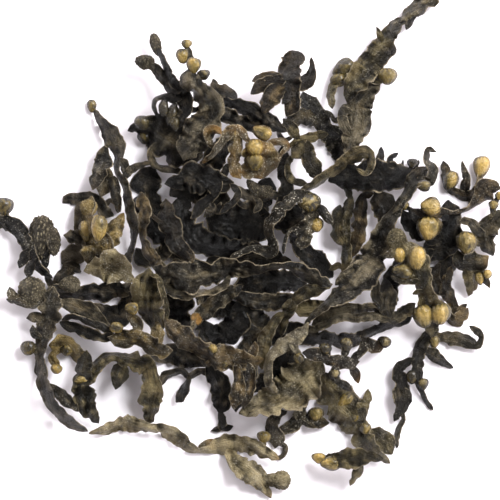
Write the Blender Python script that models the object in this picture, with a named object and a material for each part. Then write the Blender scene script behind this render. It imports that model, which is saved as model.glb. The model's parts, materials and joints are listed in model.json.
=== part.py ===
"""A clump of dried bladderwrack: leathery fronds of brown seaweed, matted as they dried.

The fronds are drawn on a laying plan, a sheet of squares of 0.4 mm seen from above, x to the
right and y down from the sheet's top left corner. Each frond is one grown piece: flat forked
straps, with air bladders and warty fruiting tips fused into them. The fronds are laid one by
one, lowest first: each sinks until it touches the surface or the fronds that lie below it,
and droops from what holds it up as a stiff dried strap does.
"""

import math
from collections import namedtuple

import bmesh
import bpy
import numpy as np
from mathutils import Matrix, Vector
from mathutils.bvhtree import BVHTree

SQUARE = 0.0004
SHEET_CENTRE = (250.0, 256.0)

BLADE_THICKNESS = 0.0007
MIDRIB_HEIGHT = 0.0005
STALK_WIDTH = 0.0042
STATION_STEP = 0.0085
FEWEST_STATIONS = 3
WIDEST_TURN = math.radians(60)
TURN_FADE = 0.006
FLAT_WIDTH = 1.06
INNER_BEND_SHARE = 0.8

EDGE_WAVE_LENGTH = 0.0165
EDGE_WAVE_SHARE = 0.24
EDGE_WAVE_POWER = 2.0
CUP_SHARE = 0.22
BOW_HEIGHT = 0.0020
BOW_LENGTH = 0.042
ROOT_REACH = 0.010
PIN_REACH = 2.2
ROOT_SINK = 0.00006
GOLDEN_SHARE = 0.6180339887

BLADDER_DEPTH = 0.92
WARTY_DEPTH = 0.62
POD_RISE = 0.22
POD_ROLL = math.radians(23)
POD_SEGMENTS = 6
POD_RINGS = 4
SMALL_POD = 0.0060
CLEANING = (
    (0.0009, 0.16), (0.0007, 0.14), (0.0005, 0.12), (0.0003, 0.10), (0.0002, 0.08),
    (0.0001, 0.05), (0.00005, 0.02),
    (0.00003, 0.0), (0.00001, 0.0),
)
SCRAP_CORNERS = 24
CLOSEST_CORNERS = 0.000004
NUDGES = (0.0, 0.000021, 0.000047, 0.000033, 0.000071, 0.000059)
NUDGE_STEPS = 3
MANY_CROSSINGS = 1000

GAP = 0.0003
CELL = 0.0005
REACH = 0.118
LATTICE = 16
DROOP_HEIGHT = 0.0075
DROOP_LENGTH = 0.015
SETTLE_ROUNDS = 3

CHARCOAL = (0.018, 0.019, 0.016)
GREY_GREEN = (0.052, 0.053, 0.042)
OLIVE = (0.085, 0.078, 0.032)
BROWN = (0.090, 0.066, 0.036)
TAN = (0.230, 0.175, 0.090)
PALE = (0.190, 0.180, 0.130)
ROUGHNESS = 0.72

Strap = namedtuple("Strap", "points side cup wave bow flat")
Pod = namedtuple("Pod", "x y wide long turn depth")
Frond = namedtuple("Frond", "name colour straps pods")


def strap(*points, side=1, cup=None, wave=1.0, bow=1.0, flat=False):
    """Returns a strap from its points (x, y, width) on the plan, from root to tip."""
    return Strap(np.array(points, dtype=float), side, cup, wave, bow, flat)


def bladder(x, y, wide, long, turn=90):
    """Returns an air bladder, with its long side turned from the plan's x towards its top."""
    return Pod(x, y, wide, long, turn, BLADDER_DEPTH)


def warty(x, y, wide, long, turn=90):
    """Returns a warty fruiting tip, flatter than a bladder."""
    return Pod(x, y, wide, long, turn, WARTY_DEPTH)


LOWEST_FRONDS = (
    Frond("resting_blade", CHARCOAL, (
        strap((206, 262, 14), (228, 260, 16), (250, 257, 15), (272, 258, 16), (292, 262, 10), flat=True),
    ), ()),
    Frond("dark_panel", CHARCOAL, (
        strap((176, 258, 12), (178, 280, 24), (180, 300, 30), (179, 320, 24), (174, 340, 10)),
        strap((180, 272, 14), (182, 256, 20), (168, 240, 22), (154, 222, 24), (148, 200, 26), (147, 182, 26),
              (154, 166, 12), side=-1),
        strap((174, 244, 10), (158, 256, 14), (144, 258, 16), (136, 248, 8)),
    ), ()),
    Frond("dark_heart", CHARCOAL, (
        strap((206, 218, 22), (222, 222, 36), (240, 222, 38), (260, 224, 34), (276, 222, 16)),
        strap((222, 214, 20), (212, 196, 26), (196, 188, 28), (180, 190, 22), (170, 196, 10), side=-1),
        strap((256, 216, 20), (262, 196, 20), (270, 178, 16)),
        strap((184, 196, 14), (182, 214, 22), (192, 234, 26), (214, 246, 20), (240, 248, 16), (262, 246, 12)),
        strap((202, 190, 14), (208, 174, 18), (214, 158, 20), (224, 142, 16), (232, 128, 8)),
        strap((268, 222, 16), (290, 216, 22), (304, 206, 14), (312, 196, 6)),
        strap((276, 220, 10), (292, 232, 14), (303, 248, 16), (317, 262, 19), (333, 277, 12), side=-1),
    ), ()),
    Frond("dark_core", CHARCOAL, (
        strap((240, 298, 18), (248, 316, 26), (262, 330, 26), (284, 332, 22), (310, 336, 18), (328, 339, 14),
              (345, 341, 14), (360, 337, 11), (372, 331, 8), (386, 325, 9), (400, 321, 10), (412, 316, 8)),
        strap((246, 312, 20), (234, 327, 22), (221, 337, 22), (207, 332, 20), (202, 319, 8), side=-1),
        strap((260, 328, 20), (250, 343, 22), (250, 362, 16), (246, 382, 14), (238, 398, 12), (236, 412, 6)),
        strap((284, 334, 16), (288, 350, 20), (278, 368, 20), (264, 382, 14), (254, 392, 6), side=-1),
        strap((244, 306, 16), (248, 287, 24), (270, 280, 26), (292, 281, 20), (308, 287, 10)),
        strap((244, 318, 14), (226, 308, 20), (210, 304, 20), (200, 308, 10)),
    ), ()),
    Frond("shaded_brown_blade", BROWN, (
        strap((375, 190, 12), (380, 200, 20), (385, 210, 22), (386, 220, 16), (381, 232, 6)),
        strap((373, 193, 10), (364, 197, 9), (360, 212, 12), (359, 228, 14), (355, 244, 14), (350, 258, 8),
              side=-1),
    ), ()),
    Frond("big_black_blade", CHARCOAL, (
        strap((448, 200, 12), (449, 212, 20), (450, 226, 22), (445, 243, 28), (432, 251, 20), (420, 256, 8)),
        strap((442, 240, 14), (426, 234, 18), (412, 224, 18), (402, 210, 8), side=-1),
        strap((446, 244, 12), (450, 258, 16), (444, 272, 14), (436, 282, 6)),
        strap((434, 250, 10), (414, 261, 18), (397, 272, 18), (390, 287, 14), (398, 301, 10)),
    ), ()),
    Frond("black_left_blade", CHARCOAL, (
        strap((63, 203, 4), (68, 199, 9), (78, 199, 10), (90, 197, 10), (99, 203, 10), (106, 212, 12),
              (114, 216, 8)),
        strap((82, 201, 8), (80, 208, 9), (79, 218, 8), (79, 230, 8), (84, 240, 12), (96, 244, 10), side=-1),
        strap((87, 241, 10), (74, 237, 14), (64, 235, 6)),
        strap((86, 243, 10), (78, 252, 18), (68, 259, 16), (62, 264, 6)),
        strap((104, 209, 6), (110, 200, 4), (116, 203, 4), (118, 213, 5), side=-1),
    ), ()),
    Frond("black_left_strap", CHARCOAL, (
        strap((56, 294, 10), (75, 294, 12), (90, 292, 14), (105, 292, 18), (122, 289, 16), (136, 292, 10)),
        strap((60, 293, 10), (60, 283, 12), (66, 273, 12), (73, 267, 12), (81, 272, 8), side=-1),
        strap((62, 289, 8), (50, 284, 6), (47, 268, 6)),
        strap((128, 291, 12), (129, 304, 18), (120, 316, 18), (104, 312, 14), (90, 304, 6)),
    ), ()),
    Frond("lower_black_frond", CHARCOAL, (
        strap((208, 366, 8), (196, 358, 18), (176, 355, 20), (158, 353, 14), (145, 347, 6), side=-1),
        strap((206, 362, 8), (212, 372, 14), (221, 388, 20), (222, 402, 18), (220, 414, 10)),
        strap((212, 374, 8), (200, 371, 6), (188, 376, 6), (181, 371, 6), (168, 374, 7), (160, 381, 9),
              (156, 387, 5), side=-1),
        strap((189, 374, 6), (188, 382, 5), (186, 388, 8), (183, 394, 12), (176, 402, 5)),
        strap((220, 410, 9), (222, 420, 7), (224, 428, 9), (233, 426, 6)),
        strap((224, 427, 7), (211, 431, 4)),
    ), ()),
    Frond("olive_brown_frond", BROWN, (
        strap((166, 199, 6), (167, 213, 16), (172, 229, 20), (176, 243, 16), (188, 257, 12), (190, 268, 12)),
        strap((188, 266, 10), (176, 272, 10), (164, 271, 10), (156, 261, 11), (148, 250, 10), (144, 238, 6),
              (144, 226, 11), (145, 215, 12), (143, 203, 12), (141, 192, 9), side=-1),
        strap((168, 222, 8), (160, 222, 4), (149, 212, 3)),
    ), ()),
)

TOP_FRONDS = (
    Frond("upright_dark_frond", CHARCOAL, (
        strap((282, 146, 8), (283, 160, 11), (284, 172, 12), (286, 190, 14), (281, 208, 12), (276, 224, 10)),
        strap((284, 196, 8), (268, 196, 9), (254, 196, 9), (240, 192, 10), (232, 186, 8), side=-1),
        strap((254, 196, 7), (259, 205, 6), (254, 213, 4)),
        strap((242, 193, 7), (238, 201, 5), (247, 209, 4), side=-1),
    ), (
        warty(254, 188, 9, 20, -48),
        warty(265, 192, 12, 12),
    )),
    Frond("upright_olive_strap", OLIVE, (
        strap((352, 196, 6), (347, 210, 10), (345, 225, 9), (346, 240, 8), (347, 252, 9), (346, 266, 9),
              (342, 278, 7)),
        strap((351, 200, 6), (345, 184, 7), (334, 175, 5), side=-1),
        strap((346, 268, 6), (338, 266, 6), (329, 270, 4)),
        strap((346, 246, 8), (338, 236, 12), (337, 220, 12), (340, 205, 9)),
    ), ()),
    Frond("speckled_grey_strap", GREY_GREEN, (
        strap((303, 92, 10), (305, 98, 13), (311, 107, 16), (319, 118, 16), (328, 130, 18), (338, 143, 22),
              (341, 157, 16), (340, 168, 8)),
        strap((322, 122, 11), (308, 117, 15), (296, 118, 16), (286, 122, 8), side=-1),
        strap((294, 122, 6), (282, 126, 5), (279, 133, 4), (284, 140, 4), (293, 137, 4)),
    ), ()),
    Frond("folded_olive_frond", OLIVE, (
        strap((288, 147, 5), (300, 141, 8), (313, 137, 9), (328, 134, 7)),
        strap((304, 140, 6), (299, 151, 15), (291, 159, 7), side=-1),
        strap((307, 140, 7), (309, 158, 14), (314, 170, 14), (318, 181, 7)),
        strap((294, 155, 6), (287, 166, 5), (292, 180, 7), (307, 184, 6), side=-1),
        strap((299, 142, 7), (292, 129, 10), (283, 119, 4)),
    ), ()),
    Frond("dark_toothed_blade", CHARCOAL, (
        strap((328, 181, 12), (340, 178, 20), (355, 176, 26), (380, 176, 28), (402, 176, 20), (416, 172, 9)),
        strap((376, 174, 9), (380, 161, 9), (381, 147, 3), side=-1),
        strap((389, 170, 8), (390, 159, 6), (398, 153, 3)),
        strap((401, 171, 6), (403, 160, 3), side=-1),
        strap((409, 173, 6), (412, 164, 5)),
        strap((413, 173, 6), (419, 160, 3)),
    ), (
        bladder(412, 163, 9, 9),
    )),
    Frond("streaked_blade", GREY_GREEN, (
        strap((380, 84, 4), (368, 93, 18), (359, 105, 21), (358, 120, 24), (353, 135, 20), (350, 149, 14),
              (353, 162, 7)),
        strap((353, 112, 8), (343, 112, 9), (344, 126, 9), (351, 137, 6), side=-1),
        strap((351, 121, 6), (334, 120, 5), (330, 115, 4), (324, 111, 3)),
    ), (
        bladder(346, 110, 12, 12),
    )),
    Frond("looped_diagonal_strap", OLIVE, (
        strap((297, 195, 4), (315, 183, 8), (333, 171, 9), (347, 160, 12), (360, 153, 15), (369, 156, 9),
              (371, 166, 6), (364, 174, 5), (356, 169, 3)),
    ), ()),
    Frond("dark_top_straps", CHARCOAL, (
        strap((215, 95, 8), (222, 101, 8), (240, 106, 12), (255, 114, 16), (270, 123, 14), (287, 132, 9)),
        strap((213, 79, 3), (218, 90, 14), (227, 94, 13), (238, 104, 9), side=-1),
        strap((208, 110, 10), (216, 113, 12), (235, 119, 14), (256, 126, 13), (271, 126, 8)),
    ), ()),
    Frond("broad_green_blade", GREY_GREEN, (
        strap((128, 131, 4), (137, 128, 12), (146, 128, 22), (158, 133, 34), (172, 143, 40), (188, 151, 34),
              (203, 157, 16)),
        strap((160, 142, 9), (151, 155, 7), (157, 167, 6), (170, 170, 6), (187, 172, 5), side=-1),
    ), (
        bladder(143, 123, 14, 14),
        bladder(145, 138, 13, 13),
    )),
    Frond("black_bud_frond", CHARCOAL, (
        strap((157, 47, 6), (160, 54, 5), (163, 58, 5), (165, 64, 5), (169, 73, 7), (175, 84, 9),
              (183, 94, 16),
              (186, 106, 14), (182, 118, 9), (178, 129, 7)),
        strap((181, 93, 8), (171, 91, 9), (168, 84, 9), (163, 77, 10), (158, 71, 9), (152, 67, 8),
              (144, 63, 5), side=-1),
        strap((183, 99, 9), (170, 99, 9), (163, 98, 5), (156, 101, 4), (154, 108, 4), (158, 115, 4),
              (165, 119, 5)),
        strap((184, 109, 8), (196, 110, 5), (205, 107, 4)),
        strap((184, 112, 8), (174, 114, 9), (164, 116, 5), side=-1),
    ), (
        warty(156, 45, 9, 22, 105),
        warty(145, 63, 15, 14),
        bladder(164, 109, 16, 10, 0),
        bladder(172, 115, 20, 12, -15),
        bladder(175, 124, 14, 10, 0),
    )),
    Frond("brown_topped_blade", CHARCOAL, (
        strap((165, 184, 5), (176, 182, 14), (190, 178, 26), (206, 180, 26), (220, 184, 18), (234, 183, 9)),
        strap((222, 181, 8), (216, 190, 10), (208, 199, 10), (198, 211, 9), (191, 219, 4), side=-1),
        strap((222, 181, 8), (225, 172, 7), (230, 163, 4)),
        strap((230, 184, 7), (238, 192, 6), (235, 200, 6), (229, 206, 6), (220, 214, 4)),
        strap((208, 200, 7), (213, 208, 8), (204, 217, 6), side=-1),
    ), ()),
    Frond("bladdered_top_strap", GREY_GREEN, (
        strap((190, 70, 12), (190, 80, 18), (195, 88, 17), (203, 96, 19), (210, 104, 22), (213, 112, 24),
              (206, 123, 27), (196, 137, 27), (189, 150, 22), (184, 161, 9)),
        strap((192, 77, 10), (193, 66, 7), (189, 57, 8), (187, 46, 5), side=-1),
        strap((196, 82, 9), (204, 75, 9)),
    ), (
        bladder(187, 45, 9, 9),
        bladder(183, 57, 11, 15),
        bladder(194, 67, 12, 17),
        bladder(204, 76, 11, 11),
    )),
    Frond("crown_frond", BROWN, (
        strap((291, 51, 25), (292, 58, 24), (290, 70, 20), (288, 84, 22), (290, 96, 16), (292, 106, 16),
              (286, 117, 9)),
        strap((286, 81, 12), (276, 82, 13), (263, 86, 13), (251, 95, 7), side=-1),
        strap((286, 86, 10), (274, 94, 16), (268, 104, 15), (263, 114, 9)),
        strap((292, 89, 10), (300, 86, 12), (308, 80, 13), (312, 70, 6), (311, 58, 3), side=-1),
        strap((284, 78, 8), (266, 77, 8), (252, 82, 6)),
    ), ()),
    Frond("long_top_frond", OLIVE, (
        strap((436, -8, 15), (426, 3, 18), (414, 10, 14), (405, 17, 9), (396, 26, 12), (388, 36, 15),
              (382, 50, 23), (373, 62, 23), (363, 73, 22), (355, 83, 20), (350, 93, 12), (347, 103, 5)),
        strap((416, 9, 7), (411, 18, 8), (406, 30, 3), side=-1),
        strap((384, 44, 8), (379, 34, 5), (376, 27, 2)),
        strap((363, 70, 12), (375, 80, 8), (386, 81, 5), side=-1),
        strap((358, 74, 9), (348, 74, 8), (338, 79, 8), (332, 88, 8), (331, 98, 8), (332, 109, 4)),
    ), (
        bladder(387, 77, 17, 17),
        bladder(343, 69, 15, 24, 35),
        bladder(338, 80, 12, 16, 20),
    )),
    Frond("bladder_plate_frond", TAN, (
        strap((256, 140, 18), (258, 148, 29), (259, 158, 32), (260, 168, 34), (262, 179, 26), cup=-0.3),
        strap((250, 143, 8), (243, 134, 8), (237, 128, 7), (231, 132, 10), (222, 143, 7), (212, 155, 5),
              (202, 164, 3), side=-1),
        strap((236, 131, 7), (236, 145, 12), (234, 160, 12), (236, 172, 11), (241, 179, 5)),
        strap((256, 170, 8), (246, 175, 8), (237, 168, 4)),
        strap((266, 144, 6), (280, 142, 7), (287, 147, 6), (282, 154, 4), (277, 162, 3), side=-1),
        strap((223, 142, 6), (214, 147, 5), (208, 140, 6), (209, 132, 8), (216, 130, 8), (222, 135, 5)),
    ), (
        bladder(255, 148, 16, 17),
        bladder(255, 163, 18, 18),
        bladder(262, 133, 13, 20, -25),
    )),
    Frond("arched_speckled_frond", GREY_GREEN, (
        strap((314, 195, 8), (300, 197, 12), (289, 202, 12), (280, 210, 13), (272, 219, 11), (268, 230, 8),
              (272, 242, 9), (270, 252, 12), (258, 249, 8), (245, 251, 6), (230, 258, 4)),
        strap((303, 199, 10), (311, 210, 16), (310, 222, 12), (304, 232, 18), (302, 242, 14), (301, 250, 4),
              side=-1),
        strap((312, 205, 10), (320, 209, 8), (326, 217, 9), (333, 224, 3)),
        strap((300, 229, 6), (291, 230, 3), (285, 240, 3), (283, 254, 3)),
    ), (
        bladder(309, 203, 19, 20),
        bladder(316, 225, 13, 15),
    )),
)

RIGHT_FRONDS = (
    Frond("right_twist_frond", GREY_GREEN, (
        strap((503, 210, 6), (499, 214, 9), (492, 223, 16), (486, 233, 20), (488, 246, 14), (493, 256, 5)),
        strap((486, 235, 9), (476, 230, 8), (468, 221, 9), (458, 222, 5), side=-1),
        strap((487, 241, 9), (478, 241, 9), (467, 236, 4)),
        strap((494, 218, 7), (493, 206, 6), (499, 196, 5), side=-1),
    ), (
        bladder(493, 205, 9, 9),
        bladder(499, 196, 8, 9),
    )),
    Frond("flared_bladder_frond", OLIVE, (
        strap((457, 250, 7), (460, 262, 15), (468, 263, 18), (478, 262, 19), (488, 256, 8)),
        strap((466, 265, 12), (470, 276, 14), (471, 287, 11), (468, 296, 4), side=-1),
        strap((473, 272, 8), (482, 276, 8), (489, 288, 4)),
        strap((463, 260, 10), (466, 246, 8), (467, 234, 5), side=-1),
    ), (
        bladder(466, 243, 18, 24),
        bladder(479, 278, 12, 9, 0),
        bladder(487, 274, 8, 9),
    )),
    Frond("claw_frond", BROWN, (
        strap((443, 161, 4), (445, 170, 8), (447, 180, 8), (453, 191, 8), (467, 196, 9), (475, 191, 7),
              (479, 181, 6), (481, 172, 6), (480, 162, 5)),
        strap((466, 197, 8), (465, 188, 9), (466, 178, 7), (464, 170, 5), (462, 161, 3), side=-1),
        strap((471, 195, 6), (470, 207, 4)),
    ), (
        bladder(450, 181, 13, 21, 70),
        bladder(481, 167, 14, 23, 80),
    )),
    Frond("bladder_pair_frond", BROWN, (
        strap((410, 209, 6), (417, 215, 13), (426, 217, 18), (434, 214, 12), (442, 211, 6), (451, 213, 4),
              (461, 211, 4), (470, 206, 5), (477, 199, 10), (484, 191, 21), (492, 187, 14), (500, 189, 4)),
        strap((415, 214, 6), (409, 210, 5), (403, 206, 5), side=-1),
        strap((426, 217, 14), (427, 226, 14), (426, 236, 8)),
    ), (
        bladder(430, 207, 16, 20, 0),
        bladder(428, 228, 22, 24),
        bladder(404, 206, 8, 9),
    )),
    Frond("brown_twisted_frond", BROWN, (
        strap((452, 266, 6), (446, 280, 9), (447, 291, 14), (451, 301, 8), (456, 311, 9), (467, 304, 4)),
        strap((449, 293, 8), (438, 288, 12), (433, 276, 12), (440, 263, 8), side=-1),
        strap((451, 302, 6), (447, 312, 7), (454, 321, 10), (461, 317, 13), (468, 308, 4)),
    ), ()),
    Frond("lower_right_fork", GREY_GREEN, (
        strap((435, 331, 7), (429, 334, 9), (424, 342, 11), (418, 354, 11), (418, 367, 11), (418, 379, 8),
              (421, 390, 5), (425, 399, 4), (433, 410, 6)),
        strap((430, 334, 8), (438, 337, 10), (450, 338, 12), (465, 341, 12), (477, 345, 7), (480, 337, 6),
              (476, 330, 7), (469, 326, 4), side=-1),
        strap((418, 347, 6), (424, 350, 7), (433, 355, 12), (442, 361, 8), (453, 368, 3)),
        strap((414, 358, 6), (404, 364, 8), (398, 370, 12), (400, 382, 14), (402, 397, 17), (401, 408, 11),
              (394, 421, 4), side=-1),
        strap((398, 404, 7), (403, 418, 4), (398, 432, 5), (397, 448, 3)),
        strap((397, 389, 9), (409, 391, 7)),
    ), (
        bladder(412, 377, 10, 14),
        bladder(423, 384, 9, 12),
        bladder(434, 342, 9, 12),
    )),
    Frond("right_core_straps", GREY_GREEN, (
        strap((415, 303, 6), (404, 312, 13), (392, 318, 11), (376, 316, 8), (356, 318, 7), (338, 318, 7),
              (322, 325, 8), (309, 332, 5)),
        strap((390, 318, 8), (387, 306, 14), (388, 294, 16), (384, 278, 5), side=-1),
        strap((388, 318, 5), (381, 305, 9), (375, 292, 9), (378, 280, 4)),
        strap((384, 317, 7), (376, 308, 7), (362, 308, 9), (345, 310, 13), (328, 315, 13), (312, 325, 8),
              side=-1),
    ), ()),
)

CENTRE_FRONDS = (
    Frond("lower_centre_strap", GREY_GREEN, (
        strap((229, 293, 6), (248, 299, 13), (262, 302, 15), (277, 301, 16), (291, 300, 11), (301, 305, 5)),
    ), ()),
    Frond("broken_strap", GREY_GREEN, (
        strap((197, 326, 9), (200, 317, 12), (212, 306, 16), (222, 298, 14), (233, 291, 11), (243, 285, 5)),
        strap((201, 314, 7), (194, 317, 6), (193, 330, 4), side=-1),
    ), ()),
    Frond("twisted_centre_blade", OLIVE, (
        strap((332, 284, 5), (315, 290, 11), (303, 294, 12), (294, 300, 10), (288, 310, 12), (284, 321, 9),
              (281, 336, 3)),
        strap((291, 306, 8), (301, 307, 15), (316, 308, 15), (329, 302, 6), side=-1),
        strap((286, 313, 7), (278, 317, 8), (270, 328, 10), (264, 343, 13), (262, 358, 9), (262, 369, 4)),
    ), ()),
    Frond("long_diagonal_strap", GREY_GREEN, (
        strap((428, 167, 6), (415, 178, 14), (409, 190, 10), (401, 203, 9), (394, 214, 10), (386, 226, 15),
              (379, 245, 22), (371, 261, 28), (362, 274, 28), (350, 287, 23), (338, 296, 16), (328, 303, 9),
              (315, 314, 6), (304, 325, 4)),
        strap((366, 262, 12), (352, 270, 10), (342, 278, 8), (335, 285, 4), side=-1),
        strap((417, 177, 8), (429, 182, 9), (432, 170, 9), (426, 160, 6), (428, 150, 6), (436, 152, 3)),
    ), (
        bladder(423, 186, 10, 14, 0),
    )),
    Frond("double_bladder_frond", OLIVE, (
        strap((387, 237, 8), (395, 240, 16), (403, 247, 16), (410, 256, 22), (416, 266, 24), (421, 278, 18),
              (424, 290, 14), (427, 300, 18), (431, 312, 24), (432, 324, 18), (431, 337, 4)),
        strap((404, 252, 10), (392, 253, 9), (383, 257, 4), side=-1),
        strap((419, 280, 7), (408, 282, 5), (398, 281, 4), (390, 276, 3)),
        strap((424, 291, 8), (418, 291, 5), (412, 294, 3), side=-1),
    ), (
        warty(395, 239, 14, 20, 60),
        bladder(399, 255, 12, 15),
        bladder(402, 272, 16, 22, -12),
        bladder(417, 258, 16, 24, 80),
        bladder(423, 316, 18, 24, 100),
        bladder(440, 313, 17, 22, 80),
    )),
)

LEFT_FRONDS = (
    Frond("paddle_strap", GREY_GREEN, (
        strap((93, 108, 7), (97, 114, 6), (103, 123, 9), (109, 132, 15), (114, 139, 19), (118, 147, 14),
              (119, 156, 9), (117, 165, 6), (118, 172, 5), (122, 178, 6), (127, 190, 7), (129, 202, 9),
              (131, 213, 9), (134, 228, 10), (134, 240, 5), (130, 252, 6), (126, 262, 8), (121, 273, 6)),
        strap((120, 158, 5), (125, 165, 9), (127, 172, 9), (126, 180, 4), side=-1),
        strap((124, 179, 6), (132, 169, 7), (141, 165, 6), (152, 163, 3)),
    ), (
        bladder(92, 106, 8, 13),
    )),
    Frond("folded_tan_leaf", GREY_GREEN, (
        strap((106, 145, 3), (104, 155, 12), (103, 164, 16), (100, 173, 14), (96, 181, 12), (93, 190, 7)),
        strap((105, 167, 8), (109, 173, 9), (107, 180, 14), (104, 188, 13), (101, 197, 9), side=-1),
        strap((107, 179, 7), (114, 180, 8), (115, 188, 10), (117, 200, 8), (120, 212, 6)),
    ), ()),
    Frond("left_bladder_blade", TAN, (
        strap((92, 196, 8), (90, 208, 12), (88, 218, 12), (92, 232, 18), (98, 244, 26), (96, 256, 26),
              (94, 269, 14)),
        strap((102, 247, 14), (110, 236, 22), (117, 226, 14), (124, 213, 3), side=-1),
    ), (
        warty(89, 208, 14, 16),
        bladder(87, 231, 13, 22, 95),
        bladder(100, 228, 13, 26, 85),
    )),
    Frond("left_edge_frond", CHARCOAL, (
        strap((-8, 224, 14), (8, 223, 14), (20, 230, 14), (27, 241, 14), (32, 253, 9), (37, 265, 8),
              (44, 272, 7), (53, 278, 6)),
        strap((43, 272, 7), (45, 262, 8), (43, 250, 12), (41, 238, 14), (40, 224, 8), side=-1),
        strap((8, 227, 8), (4, 214, 9), (3, 205, 7)),
        strap((30, 249, 8), (24, 258, 10), (20, 268, 7), side=-1),
        strap((34, 259, 6), (30, 268, 9), (28, 278, 5)),
    ), (
        warty(42, 238, 20, 42, 88),
        warty(53, 241, 13, 28, 97),
        bladder(3, 207, 18, 19),
    )),
    Frond("speckled_pods_frond", GREY_GREEN, (
        strap((7, 299, 5), (20, 301, 8), (33, 303, 9), (45, 298, 8), (55, 288, 7), (67, 289, 7),
              (80, 285, 6)),
        strap((34, 303, 8), (32, 292, 14), (33, 283, 10), (31, 276, 5), side=-1),
        strap((21, 300, 6), (13, 295, 9), (10, 287, 4)),
    ), (
        warty(32, 292, 22, 28, 80),
        warty(70, 284, 13, 20, 0),
    )),
    Frond("wide_centre_strap", GREY_GREEN, (
        strap((154, 266, 6), (162, 270, 13), (172, 273, 20), (190, 278, 30), (208, 273, 25), (228, 268, 18),
              (243, 268, 16), (256, 270, 9), (270, 267, 6), (285, 265, 6), (297, 269, 12), (312, 276, 14),
              (331, 286, 8)),
        strap((170, 277, 10), (164, 285, 7), (172, 291, 12), (182, 293, 14), (196, 293, 7), (206, 292, 5),
              (215, 291, 6), (224, 285, 7), (230, 275, 5), side=-1),
        strap((196, 292, 6), (200, 298, 7), (198, 305, 3)),
    ), ()),
    Frond("pale_diamond_blade", PALE, (
        strap((84, 271, 4), (98, 268, 20), (110, 267, 31), (122, 272, 22), (135, 282, 7)),
    ), ()),
    Frond("square_blade", OLIVE, (
        strap((150, 268, 8), (148, 277, 20), (147, 287, 30), (149, 298, 28), (152, 309, 24), (156, 321, 16),
              (160, 335, 8)),
        strap((151, 275, 6), (158, 277, 5), (162, 289, 5), (166, 303, 5), (166, 324, 4), side=-1),
    ), ()),
    Frond("wavy_left_frond", GREY_GREEN, (
        strap((60, 322, 8), (75, 328, 10), (90, 333, 10), (105, 337, 9), (119, 335, 5)),
        strap((58, 302, 4), (75, 306, 14), (92, 314, 16), (103, 322, 9), (110, 330, 6), (114, 337, 5),
              side=-1),
        strap((62, 320, 5), (74, 316, 5), (90, 322, 6), (105, 328, 7), (114, 335, 5)),
    ), ()),
    Frond("ragged_cup_frond", TAN, (
        strap((49, 345, 9), (58, 345, 20), (66, 344, 16), (73, 348, 11), (80, 355, 14), (86, 361, 11),
              (87, 368, 5)),
        strap((58, 350, 10), (52, 356, 8), (56, 364, 7), (57, 371, 5), side=-1),
    ), (
        bladder(67, 350, 12, 12),
        bladder(57, 369, 10, 10),
    )),
    Frond("forked_lower_left_frond", OLIVE, (
        strap((87, 350, 6), (86, 359, 12), (83, 373, 16), (84, 390, 20), (87, 405, 19), (93, 415, 12),
              (99, 423, 4)),
        strap((85, 385, 11), (92, 374, 12), (97, 366, 11), (105, 359, 10), (116, 357, 8), (124, 359, 12),
              (133, 361, 18), (147, 367, 18), (151, 378, 15), (152, 390, 19), (150, 403, 20), (150, 416, 13),
              (148, 424, 4), side=-1),
        strap((125, 361, 12), (121, 371, 16), (118, 380, 12), (116, 389, 4)),
    ), (
        bladder(82, 380, 9, 16, 0),
    )),
    Frond("tan_twist_frond", TAN, (
        strap((108, 337, 7), (122, 339, 16), (138, 336, 13), (146, 341, 14), (152, 346, 18), (160, 350, 15),
              (173, 350, 7)),
        strap((124, 336, 9), (118, 327, 8), side=-1),
        strap((138, 335, 8), (138, 324, 10), (132, 316, 9), (132, 307, 7)),
        strap((158, 347, 10), (158, 334, 12), (158, 321, 7), side=-1),
    ), (
        bladder(117, 327, 12, 11),
        bladder(132, 308, 10, 13, 0),
    )),
    Frond("long_left_strap", GREY_GREEN, (
        strap((54, 286, 8), (52, 296, 16), (51, 309, 22), (47, 325, 18), (43, 340, 14), (39, 355, 9),
              (41, 370, 12), (44, 385, 12), (50, 399, 11), (59, 412, 10), (71, 422, 10), (88, 431, 5)),
        strap((47, 383, 8), (57, 391, 9), (67, 400, 11), (79, 411, 7), side=-1),
        strap((46, 321, 10), (36, 317, 10), (27, 318, 4)),
        strap((43, 338, 8), (35, 334, 7), (33, 325, 5), side=-1),
        strap((40, 352, 6), (35, 350, 6), (29, 348, 7)),
    ), (
        bladder(29, 348, 14, 14),
    )),
)

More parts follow.
